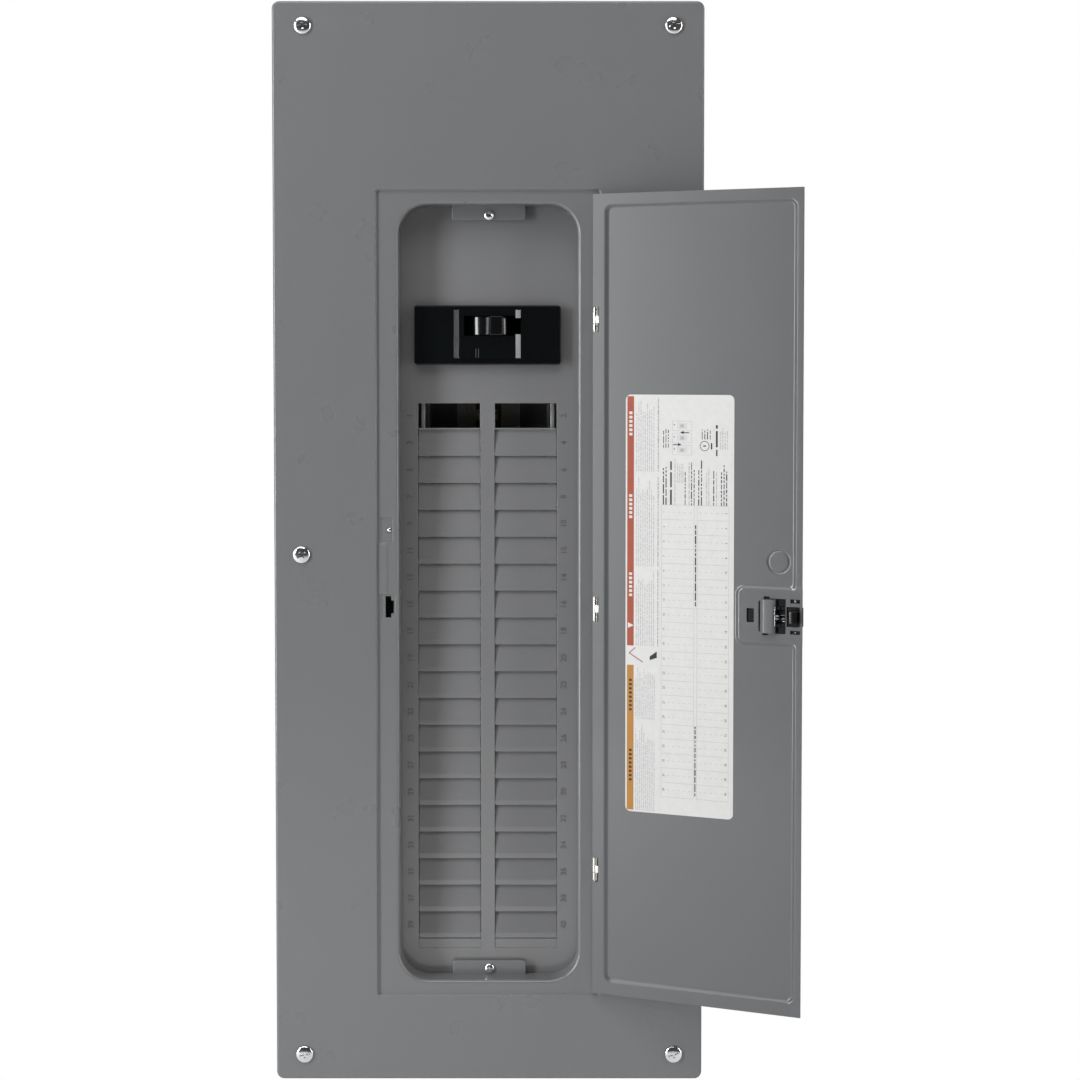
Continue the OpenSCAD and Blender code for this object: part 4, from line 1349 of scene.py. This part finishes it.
        for i in range(len(across) - 1):
            for k in range(len(up) - 1):
                if not solid(i, k):
                    continue
                keys = [(i, k), (i + 1, k), (i + 1, k + 1), (i, k + 1)]
                shape.bm.faces.new([inner[key] for key in keys])
                shape.bm.faces.new([outer[key] for key in reversed(keys)])
                sides = ((0, 1, i, k - 1), (1, 2, i + 1, k), (2, 3, i, k + 1), (3, 0, i - 1, k))
                for a, b, ni, nk in sides:
                    if not solid(ni, nk):
                        shape.bm.faces.new((inner[keys[a]], outer[keys[a]], outer[keys[b]], inner[keys[b]]))
        loose = [v for v in shape.bm.verts if not v.link_faces]
        bmesh.ops.delete(shape.bm, geom=loose, context="VERTS")
        # In the darkened copy of the cover enamel: painted shade on the open door.
        sheet = shape.piece("door_sheet", DOOR_SHADED_PAINT, Stand.ON_DOOR)
        round_edges(sheet, 0.25, 60)
        return seat(sheet, "door", "door_paint", "door_panel")

    def build(self) -> None:
        """Build the door."""
        self.build_sheet()


# ------------------------------------------------------------------ label


@dataclass
class DirectoryLabel:
    """The printed film on the door's inner face, with bars and dashes in place of words."""

    left: float = 31.4
    right: float = 136.9
    bottom: float = -244.6
    top: float = 140.3
    corner: float = 5.0
    face: float = 96.45
    film: float = 0.22
    ink: float = 0.03
    rows: int = 20
    table: Rect = Rect(66.9, 132.2, -228.7, 39.9)
    divider: Span = (98.6, 101.6)

    def __post_init__(self) -> None:
        """Start one shape for each ink."""
        self.shapes = {finish: Shape() for finish in (INK_RED, INK_ORANGE, INK_BLACK, INK_GREY, INK_PALE,
                                                      FILM_WHITE)}
        self.draw = random.Random(20)

    def mark(self, ink: Finish, s: Span, z: Span, lift: float = 1.0) -> None:
        """Print one bar.

        Args:
            ink: What it is printed in.
            s: Where it runs across.
            z: Where it runs up.
            lift: Height of its face, in thicknesses of ink.
        """
        shape = self.shapes[ink]
        near = self.face - self.ink * lift
        corners = [(HINGE_X - s[i], z[k]) for i, k in ((0, 0), (1, 0), (1, 1), (0, 1))]
        shape.loft([shape.ring(corners, self.face + 0.02), shape.ring(corners, near)])

    def words(self, ink: Finish, s: float, z: Span, size: float, bold: float = 0.55) -> None:
        """Print a line of bars as long as words, running up the label.

        Args:
            ink: What it is printed in.
            s: The line's middle.
            z: Where it starts and ends.
            size: Height of its letters.
            bold: Share of the height that a bar fills.
        """
        at = z[0]
        while at < z[1]:
            length = size * self.draw.choice((1.2, 1.8, 2.6, 3.4, 4.6))
            end = min(at + length, z[1])
            half = size * bold / 2 * self.draw.uniform(0.75, 1.1)
            self.mark(ink, (s - half, s + half), (at, end))
            at = end + size * 0.7

    def paragraph(self, ink: Finish, s: Span, z: Span, lines: int, size: float = 1.5) -> None:
        """Print lines of words side by side.

        Args:
            ink: What they are printed in.
            s: Where the block runs across.
            z: Where it runs up.
            lines: How many lines it has.
            size: Height of the letters.
        """
        for i in range(lines):
            at = s[0] + (s[1] - s[0]) * (i + 0.5) / lines
            short = self.draw.uniform(0, 0.22) * (z[1] - z[0])
            self.words(ink, at, (z[0], z[1] - short), size)

    def arrow(self, s: float, z: float, pointing: int) -> None:
        """Print a small arrow that lies across the label.

        Args:
            s: Its middle across.
            z: Its middle up.
            pointing: 1 to point at the free edge, -1 at the hinge.
        """
        self.mark(INK_BLACK, (s - 4, s + 4), (z - 0.35, z + 0.35))
        for i in range(4):
            at = s + pointing * (4 - i * 0.8)
            self.mark(INK_BLACK, (at - 0.4, at + 0.4), (z - 0.3 - i * 0.35, z + 0.3 + i * 0.35))

    def print_hazard_bands(self) -> None:
        """Print the coloured bands down the hinge side, with plain bars for their words."""
        self.mark(INK_RED, (33.0, 39.6), (-90.8, 138.8))
        self.mark(INK_ORANGE, (33.0, 39.6), (-243.0, -108.7))
        for z in (104, 28, -44):
            for i in range(6):
                at = z + i * 3.9
                self.mark(FILM_WHITE, (34.9, 38.0), (at - 1.2, at + 1.2), 2.0)
        for z in (-150, -215):
            for i in range(8):
                at = z + i * 3.9
                self.mark(INK_BLACK, (35.1, 37.8), (at - 1.0, at + 1.0), 2.0)
        for i in range(5):
            half = 2.4 - i * 0.45
            self.mark(FILM_WHITE, (33.8 + i * 1.0, 34.8 + i * 1.0), (-72 - half, -72 + half), 2.0)
        for i in range(9):
            self.mark(INK_RED, (35.0 + i * 1.5, 36.5 + i * 1.5), (-98.5 - i * 0.9, -97.4 - i * 0.9))
            self.mark(INK_RED, (35.0 + i * 0.7, 35.8 + i * 0.7), (-98.0 + i * 0.6, -97.0 + i * 0.6))
        for i in range(5):
            self.mark(INK_BLACK, (55.5 + i * 1.4, 56.9 + i * 1.4), (-103.2 + i * 0.5, -99.5 + i * 1.0))

    def print_text_blocks(self) -> None:
        """Print the blocks of fine text and the heavier ones above the table."""
        for z in ((70, 137.5), (-17, 65), (-90.5, -20)):
            self.paragraph(INK_GREY, (41.2, 60.2), z, 9, 1.25)
            self.words(INK_BLACK, 63.4, z, 1.1, 0.45)
        for z in ((-158.5, -110.5), (-243, -163.5)):
            self.paragraph(INK_GREY, (40.8, 61.0), z, 10, 1.25)
        for s, size, ink in ((68.6, 1.9, INK_BLACK), (71.2, 1.9, INK_BLACK), (76.0, 3.0, INK_BLACK),
                             (79.9, 1.4, INK_GREY), (89.8, 1.5, INK_BLACK), (93.6, 1.5, INK_GREY),
                             (96.0, 1.5, INK_BLACK), (98.5, 1.5, INK_BLACK), (103.0, 1.7, INK_BLACK),
                             (105.6, 1.7, INK_BLACK), (110.5, 1.4, INK_GREY), (112.7, 1.4, INK_GREY),
                             (117.4, 1.6, INK_BLACK), (120.1, 1.5, INK_GREY), (124.8, 1.7, INK_BLACK),
                             (127.3, 1.7, INK_BLACK), (129.8, 1.7, INK_BLACK)):
            self.words(ink, s, (40, self.draw.uniform(70, 82)), size, 0.6)
        self.paragraph(INK_GREY, (81.5, 88.5), (60, 80), 4, 1.3)
        self.paragraph(INK_BLACK, (67.5, 74.5), (92, 111), 3, 1.5)
        self.paragraph(INK_BLACK, (104.8, 115.2), (100, 110), 4, 1.5)
        self.words(INK_BLACK, 115.2, (91, 97.5), 2.2, 0.8)
        self.words(INK_BLACK, 120.2, (85, 113), 3.2, 0.55)
        self.paragraph(INK_GREY, (122.5, 131.5), (91, 111), 4, 1.4)

    def print_diagrams(self) -> None:
        """Print the three small handle diagrams, their arrows and a plain ring."""
        for z in (85.5, 96.5, 107.5):
            for edge in ((77.2, 77.5), (95.9, 96.2)):
                self.mark(INK_GREY, edge, (z, z + 9))
            for edge in ((z, z + 0.3), (z + 8.7, z + 9)):
                self.mark(INK_GREY, (77.2, 96.2), edge)
            self.mark(INK_PALE, (82, 91.5), (z + 1.6, z + 7.4))
            self.mark(INK_GREY, (85, 88.5), (z + 3, z + 6), 2.0)
            self.mark(INK_BLACK, (78.6, 79.6), (z + 5, z + 6))
        self.arrow(89.5, 106, -1)
        self.arrow(81.5, 95, 1)
        shape, middle = self.shapes[INK_BLACK], (108.5, 94.0)
        turns = [2 * math.pi * i / 40 for i in range(40)]
        rings = []
        for r, lift in ((4.6, -0.6), (4.6, 1), (4.0, 1), (4.0, -0.6)):
            outline = [(HINGE_X - middle[0] - r * math.cos(a), middle[1] + r * math.sin(a)) for a in turns]
            rings.append(shape.ring(outline, self.face - self.ink * lift))
        shape.loft(rings, closed=True)
        self.mark(INK_BLACK, (107.2, 109.8), (93.4, 94.6))

    def print_table(self) -> None:
        """Print the circuit table: ruled rows, dashed middles, numbers and a dark centre line."""
        table, rule = self.table, 0.28
        pitch = (table.top - table.bottom) / self.rows
        for s in (table.left, self.divider[0], self.divider[1], table.right):
            self.mark(INK_GREY, (s - rule / 2, s + rule / 2), (table.bottom, table.top))
        for row in range(self.rows + 1):
            z = table.top - row * pitch
            for s in ((table.left, self.divider[0]), (self.divider[1], table.right)):
                self.mark(INK_GREY, s, (z - rule / 2, z + rule / 2))
        for row in range(self.rows):
            z = table.top - (row + 0.5) * pitch
            for start in (72.5, 103.5):
                for i in range(5):
                    at = start + i * 5.3
                    self.mark(INK_GREY, (at, at + 2.4), (z - 0.15, z + 0.15))
            for number, s in ((2 * row + 1, 69.4), (2 * row + 2, 129.6)):
                self.shapes[INK_BLACK].lettering(
                    str(number), 2.9, 0.02,
                    lambda p, s=s, z=z: Vector((HINGE_X - s + p.y, self.face - 0.04 - p.z, z + p.x)))
        middle = sum(self.divider) / 2
        for z in ((-52, 22), (-226, -161)):
            self.words(INK_BLACK, middle, z, 1.6, 0.75)
        self.mark(INK_PALE, (64.6, 64.9), (-243, 138))
        self.mark(INK_PALE, (134.4, 134.7), (-243, 138))

    def build_film(self) -> bpy.types.Object:
        """Build the film itself.

        Returns:
            The piece, on its body.
        """
        shape = Shape()
        rect = Rect(HINGE_X - self.right, HINGE_X - self.left, self.bottom, self.top)
        shape.plate(rect, self.corner, (self.face, self.face + self.film), 0.06, 2)
        film = shape.piece("label_sheet", FILM_WHITE, Stand.ON_DOOR)
        steady_shading(film)
        return seat(film, "door", "label_film", "directory_label")

    def build(self) -> None:
        """Build the film and print it."""
        self.build_film()
        self.print_hazard_bands()
        self.print_text_blocks()
        self.print_diagrams()
        self.print_table()
        for finish, shape in self.shapes.items():
            name = "label_" + finish.name
            seat(shape.piece(name, finish, Stand.ON_DOOR), "door", "label_film")


# ------------------------------------------------------------------ latch


@dataclass
class SlideLatch:
    """The slide latch on the door's pad: a painted bridge, a black guide, a sprung slide and its hook."""

    z: float = -57.5
    inner: float = 95.2
    outer: float = 96.4
    bridge_top: float = 89.9
    bar: Span = (96.65, 98.1)
    hook: Span = (90.3, 92.2)
    pin_d: float = 92.6
    shut_d: float = 94.95
    bridge_half: float = 15.2
    guide: tuple[Span, Span] = ((159.9, 201), (5.8, 18.2))
    cap: tuple[Span, Span] = ((148.4, 201.8), (-8.5, 8.5))
    bar_reach: Span = (149.2, 200.6)
    bar_half: float = 5.4
    coils: int = 5

    def box(self, shape: Shape, s: Span, d: Span, z: Span, edge: float = 0.3) -> None:
        """Add a bevelled block, placed along the door and up from the latch's middle."""
        shape.block((HINGE_X - s[1], HINGE_X - s[0]), d, (self.z + z[0], self.z + z[1]), edge, 3)

    def build_bridge(self) -> bpy.types.Object:
        """Build the painted bridge that stands off the pad, with its rounded shoulder.

        Returns:
            The piece, on its body.
        """
        shape, top, foot = Shape(), self.bridge_top, self.outer - 0.1
        section = [(162.9, foot), (162.9, self.inner - 1.6), (164.0, top + 2.4), (165.8, top + 0.6),
                   (167.6, top), (175.4, top), (176.8, top + 0.5), (177.4, top + 1.6), (177.4, foot)]
        up = (self.z - self.bridge_half, self.z + self.bridge_half)
        shape.post([(HINGE_X - s, d) for s, d in section], up, 0.6, 3)
        bridge = shape.piece("latch_bridge", DOOR_SHADED_PAINT, Stand.ON_DOOR)
        hollow = Shape()
        self.box(hollow, (166.5, 190), (self.pin_d - 2.5, self.outer + 1), (-6.4, 6.4), 0.0)
        carve(bridge, hollow)
        steady_shading(bridge)
        return seat(bridge, "door", "door_paint", "latch_housing")

    def build_guide(self) -> bpy.types.Object:
        """Build the black guide: two plates outside the pad that the slide runs between, and its cheeks.

        Returns:
            The piece, on its body.
        """
        shape = Shape()
        for side in (-1, 1):
            def span(near: float, far: float, side: int = side) -> Span:
                """Give a span of heights on one side of the latch's middle."""
                return min(side * near, side * far), max(side * near, side * far)

            self.box(shape, self.guide[0], (self.outer + 0.05, self.outer + 1.5), span(*self.guide[1]), 0.3)
            self.box(shape, (180.2, 186.1), (self.shut_d, self.outer + 0.2), span(9.4, 15.3), 0.4)
            self.box(shape, (178.2, 181.4), (93.4, self.outer + 0.2), span(6.2, 9.0), 0.4)
            self.box(shape, (181.3, 186.0), (self.shut_d, self.outer + 0.2), span(6.2, 9.0), 0.4)
        guide = shape.piece("latch_guide", NYLON_BLACK, Stand.ON_DOOR)
        steady_shading(guide)
        return seat(guide, "door", "latch_black")

    def build_bright_parts(self) -> bpy.types.Object:
        """Build a bright zinc strip on the bridge's edge, put there as a painted highlight for the edge's bright
        line, and the two pips in the small windows.

        Returns:
            The piece, on its body.
        """
        shape = Shape()
        # Bright zinc strip on the bridge's edge: a painted highlight standing in for the edge's bright line.
        self.box(shape, (177.45, 178.05), (90.6, self.inner), (-8.4, 8.4), 0.2)
        for side in (-1, 1):
            self.box(shape, (194.6, 196.0), (self.outer - 0.6, self.outer + 0.2),
                     (side * 14 - 0.8, side * 14 + 0.8), 0.25)
        bright = shape.piece("latch_highlight_liner", HINGE_ZINC, Stand.ON_DOOR)
        return seat(bright, "door", "zinc_hinge")

    def build_slide(self) -> bpy.types.Object:
        """Build the black slide: its bar, the thumb grip outside and the hook.

        Returns:
            The piece, on its body.
        """
        shape = Shape()
        across = (-self.bar_half, self.bar_half)
        self.box(shape, self.bar_reach, self.bar, across, 0.35)
        self.box(shape, self.cap[0], (self.bar[1] - 0.05, 99.0), self.cap[1], 0.3)
        self.box(shape, (150, 158.5), (98.8, 99.8), across, 0.4)
        for i in range(4):
            self.box(shape, (150.8 + i * 2, 151.9 + i * 2), (99.5, 100.7), (-4.8, 4.8), 0.35)
        self.box(shape, (191.5, 193.8), (self.hook[0], self.bar[0] + 0.2), across, 0.5)
        self.box(shape, (191.5, 198.0), self.hook, across, 0.5)
        self.box(shape, (194.4, 198.0), self.hook, (-6.2, 6.2), 0.5)
        slide = shape.piece("latch_bar", NYLON_BLACK, Stand.ON_DOOR)
        steady_shading(slide)
        return seat(slide, "latch", "latch_black", "latch_slide")

    def build_strap(self) -> bpy.types.Object:
        """Build the strap across the hook's root.

        Returns:
            The piece, on its body.
        """
        shape = Shape()
        self.box(shape, (191.7, 193.6), (self.hook[0] - 0.5, self.hook[0] + 0.1), (-5.2, 5.2), 0.2)
        return seat(shape.piece("hook_strap", STRAP_GREY, Stand.ON_DOOR), "latch", "zinc_hinge")

    def build_pin(self) -> bpy.types.Object:
        """Build the bright pin across the latch.

        Returns:
            The piece, on its body.
        """
        shape = Shape()
        for near, far, r in ((178.1, 181.5, 2.3), (178.6, 181.2, 3.0)):
            stops = (near, near + 0.3, far - 0.3, far)
            path = [Vector((HINGE_X - s, self.pin_d, self.z - 0.6)) for s in stops]
            shape.tube(path, r, 32)
        self.box(shape, (181.4, 186.2), (self.shut_d, self.bar[0] - 0.05), (-2.9, 1.7), 0.7)
        return seat(shape.piece("latch_pin", PIN_CHROME, Stand.ON_DOOR), "door", "zinc_screw")

    def build_spring(self) -> bpy.types.Object:
        """Build the coil spring between the guide and the slide.

        Returns:
            The piece, on its body.
        """
        shape, start, end, radius, wire, steps = Shape(), 182.7, 185.7, 0.6, 0.18, 18
        path = []
        for i in range(self.coils * steps + 1):
            share, a = i / (self.coils * steps), 2 * math.pi * i / steps
            path.append(Vector((HINGE_X - (start + (end - start) * share),
                                self.outer - 0.6 - radius * math.cos(a),
                                self.z - 4.2 + radius * math.sin(a))))
        shape.tube(path, wire)
        coil = shape.piece("latch_coil", SCREW_ZINC, Stand.ON_DOOR)
        return seat(coil, "latch", "zinc_screw", "latch_spring")

    def build(self) -> None:
        """Build the latch."""
        self.build_bridge()
        self.build_guide()
        self.build_bright_parts()
        self.build_slide()
        self.build_strap()
        self.build_pin()
        self.build_spring()


# ------------------------------------------------------------------ main breaker


@dataclass
class BreakerCase:
    """The main breaker's front half: a shell, its nose, and a raised block round the handle's window."""

    shift: float = -1.6
    shell: Rect = Rect(-74, 74, 158, 262)
    nose: Rect = Rect(-68, 68, 168.3, 222.6)
    window: Rect = Rect(-21.6, 25.9, 194.6, 213.2)
    block: Rect = Rect(-31.3, 31.3, 173.7, 218.8)
    seam: float = 52.1
    face: float = 62.0
    nose_face: float = 74.6
    rise: float = 3.2
    bevel_run: float = 4.8
    wall: float = 3.0
    drum: tuple[float, float, float] = (2.15, 50.0, 26.4)

    def moved(self, rect: Rect) -> Rect:
        """Give a rectangle moved to the interior's centre line."""
        return Rect(rect.left + self.shift, rect.right + self.shift, rect.bottom, rect.top)

    def hollow(self) -> Shape:
        """Give the handle's clearance, cut as deep as the drum reaches."""
        shape, (x, d, r) = Shape(), self.drum
        turns = [2 * math.pi * i / 72 for i in range(72)]
        shape.post([(x + self.shift + r * math.cos(a), d + r * math.sin(a)) for a in turns],
                   (self.window.bottom, self.window.top))
        return shape

    def opening(self) -> Shape:
        """Give the window, cut straight through."""
        shape, window = Shape(), self.moved(self.window)
        shape.block((window.left, window.right), (self.seam - 5, self.nose_face + self.rise + 1),
                    (window.bottom + 0.01, window.top - 0.01))
        return shape

    def build_shell(self) -> bpy.types.Object:
        """Build the shell that lies behind the deadfront, hollow at its back.

        Returns:
            The piece, on its body.
        """
        shape, cavity = Shape(), Shape()
        shape.plate(self.moved(self.shell), 3, (self.seam, self.face), 0.7)
        within = self.moved(self.shell.grown(-self.wall))
        cavity.plate(within, 2, (self.seam - 2, self.face - self.wall), 0.3, 1)
        shell = shape.piece("breaker_shell", CASE_BLACK)
        for cutter in (cavity, self.opening(), self.hollow()):
            carve(shell, cutter)
        steady_shading(shell)
        return seat(shell, "enclosure", "breaker_case", "breaker_cover")

    def build_nose(self) -> bpy.types.Object:
        """Build the nose that fills the deadfront's window.

        Returns:
            The piece, on its body.
        """
        shape = Shape()
        shape.plate(self.moved(self.nose), 1.6, (self.face - 0.2, self.nose_face), 0.5)
        nose = shape.piece("breaker_nose", CASE_BLACK)
        for cutter in (self.opening(), self.hollow()):
            carve(nose, cutter)
        steady_shading(nose)
        return seat(nose, "enclosure", "breaker_case")

    def build_block(self) -> bpy.types.Object:
        """Build the raised block, with a wide bevel down each side and a notch through the right one.

        Returns:
            The piece, on its body.
        """
        shape, block, window, notch = Shape(), self.moved(self.block), self.moved(self.window), Shape()
        foot, top = self.nose_face - 0.1, self.nose_face + self.rise
        section = [(block.left, foot), (block.right, foot), (block.right, foot + 0.2),
                   (block.right - self.bevel_run, top), (block.left + self.bevel_run, top),
                   (block.left, foot + 0.2)]
        shape.post(section, (block.bottom, block.top), 0.18, 2)
        raised = shape.piece("breaker_block", CASE_BLACK)
        notch.block((window.right - 1, block.right + 1), (self.nose_face, top + 1),
                    (window.bottom + 1.4, window.top - 2.0))
        for cutter in (self.opening(), notch):
            carve(raised, cutter)
        steady_shading(raised)
        return seat(raised, "enclosure", "breaker_case")

    def build_marks(self) -> bpy.types.Object:
        """Build the two small ribs low on the raised block.

        Returns:
            The piece, on its body.
        """
        shape, top = Shape(), self.nose_face + self.rise
        for x in (-12.1, -9.7):
            shape.block((x - 0.35, x + 0.35), (top - 0.1, top + 0.25), (self.block.bottom + 0.6, 182.6), 0.1)
        return seat(shape.piece("breaker_marks", MARK_GREY), "enclosure", "breaker_case")

    def build(self) -> None:
        """Build the breaker's front half."""
        self.build_shell()
        self.build_nose()
        self.build_block()
        self.build_marks()


# ------------------------------------------------------------------ kept CAD nodes


@dataclass
class KeptNodes:
    """The CAD nodes whose shape is right: they get rounded edges and their finish."""

    edge: float = 0.3
    fine_edge: float = 0.12
    fine: tuple[str, ...] = ("screw", "pin", "bolt", "spring", "lug", "leaf")
    moulded: tuple[str, ...] = ("breaker_base", "main_handle", "bus_barrier")

    def width_for(self, node: str) -> float:
        """Give the width of a node's rounded edges.

        Args:
            node: The node's name.

        Returns:
            The width in millimetres.
        """
        if any(word in node for word in self.fine):
            return self.fine_edge
        return 0.7 if node in self.moulded else self.edge

    def dress(self, node: str, finish: Finish) -> None:
        """Give one node its finish and round its edges.

        Args:
            node: The node's name.
            finish: What it is finished in.
        """
        thing = frame["nodes"][node]
        material = finish.material()
        thing.data.materials.clear()
        thing.data.materials.append(material)
        for polygon in thing.data.polygons:
            polygon.use_smooth = True
        weld = thing.modifiers.new("weld", "WELD")
        weld.merge_threshold = 0.000005
        round_edges(thing, self.width_for(node), 35)
        log.info("%s: kept, in %s", node, finish.name)

    def build(self) -> None:
        """Dress every node that nothing replaces."""
        for part in frame["record"]["subparts"]:
            node = part["node"]
            if not frame["nodes"][node].hide_render:
                self.dress(node, NODE_FINISHES.get(node, SLOT_FINISHES[part["material_slot"]]))


# ------------------------------------------------------------------ studio


@dataclass(frozen=True)
class SoftBox:
    """One soft light: where it hangs, its size in metres, its power and its colour."""

    name: str
    place: tuple[float, float, float]
    size: Point
    watts: float
    colour: Colour = (1, 1, 1)

    def build(self, aim: Vector) -> None:
        """Hang the light.

        Args:
            aim: What it points at.
        """
        data = bpy.data.lights.new(self.name, "AREA")
        data.shape, (data.size, data.size_y) = "RECTANGLE", self.size
        data.energy, data.color = self.watts, self.colour
        lamp = bpy.data.objects.new(self.name, data)
        lamp.location = self.place
        lamp.rotation_euler = (aim - Vector(self.place)).to_track_quat("-Z", "Y").to_euler()
        bpy.context.scene.collection.objects.link(lamp)


@dataclass
class Studio:
    """A pale floor, soft lights and the camera."""

    eye: tuple[float, float, float] = (0.04769, -2.2112, 0.16414)
    look_down: float = 2.54
    lens: float = 76.14
    sensor: float = 36.0
    shift_up: float = -0.065
    floor_z: float = -0.62
    floor_span: tuple[float, float, float] = (-3.4, 0.13, 2.6)
    surround: float = 0.05
    backdrop: float = 1.0
    aim: tuple[float, float, float] = (0, -0.05, 0)
    boxes: tuple[SoftBox, ...] = (
        SoftBox("right_box", (2.3, -1.05, 0.35), (0.42, 2.4), 30),
        SoftBox("left_box", (-2.2, -1.42, 0.3), (0.6, 2.4), 76, (0.97, 0.985, 1.0)),
        SoftBox("top_box", (-0.6, -1.5, 2.4), (3.0, 1.2), 46),
        SoftBox("back_box", (0.3, 2.6, 1.6), (2.4, 1.6), 30))

    def build_camera(self) -> None:
        """Stand the camera in front of the panel, a little right of its middle and looking slightly down."""
        data = bpy.data.cameras.new("camera")
        data.lens, data.sensor_width, data.shift_y = self.lens, self.sensor, self.shift_up
        data.clip_start, data.clip_end = 0.05, 60
        camera = bpy.data.objects.new("camera", data)
        camera.location = self.eye
        camera.rotation_euler = (math.radians(90 - self.look_down), 0, 0)
        bpy.context.scene.collection.objects.link(camera)
        bpy.context.scene.camera = camera

    def build_world(self) -> None:
        """Surround the scene with soft grey light, under a pale backdrop."""
        world = bpy.data.worlds.new("studio")
        bpy.context.scene.world = world
        world.use_nodes = True
        nodes, links = world.node_tree.nodes, world.node_tree.links
        nodes.clear()
        output = nodes.new("ShaderNodeOutputWorld")
        mix = nodes.new("ShaderNodeMixShader")
        path = nodes.new("ShaderNodeLightPath")
        light, backdrop = nodes.new("ShaderNodeBackground"), nodes.new("ShaderNodeBackground")
        light.inputs["Color"].default_value = (0.96, 0.98, 1.0, 1)
        light.inputs["Strength"].default_value = self.surround
        backdrop.inputs["Color"].default_value = (1, 1, 1, 1)
        backdrop.inputs["Strength"].default_value = self.backdrop
        links.new(path.outputs["Is Camera Ray"], mix.inputs[0])
        links.new(light.outputs[0], mix.inputs[1])
        links.new(backdrop.outputs[0], mix.inputs[2])
        links.new(mix.outputs[0], output.inputs["Surface"])

    def build_floor(self) -> None:
        """Lay the floor."""
        near, far, half = self.floor_span
        bpy.ops.mesh.primitive_plane_add(size=1, location=(0, (near + far) / 2, self.floor_z))
        floor = bpy.context.object
        floor.name, floor.scale = "floor", (2 * half, far - near, 1)
        floor.data.materials.append(FLOOR_PALE.material())

    def build(self) -> None:
        """Build the studio."""
        bpy.context.scene.view_settings.view_transform = "Standard"
        self.build_camera()
        self.build_world()
        self.build_floor()
        for box in self.boxes:
            box.build(Vector(self.aim))


# ------------------------------------------------------------------ whole


def main() -> None:
    """Build the load center, piece by piece, and the studio round it."""
    logging.basicConfig(level=logging.INFO, format="%(name)s: %(message)s")
    for builder in (Studio(), TrimCover(), Deadfront(), DoorLeaf(), DirectoryLabel(), SlideLatch(),
                    BreakerCase(), KeptNodes()):
        log.info("building %s", type(builder).__name__)
        builder.build()


if __name__ == "__main__":
    main()
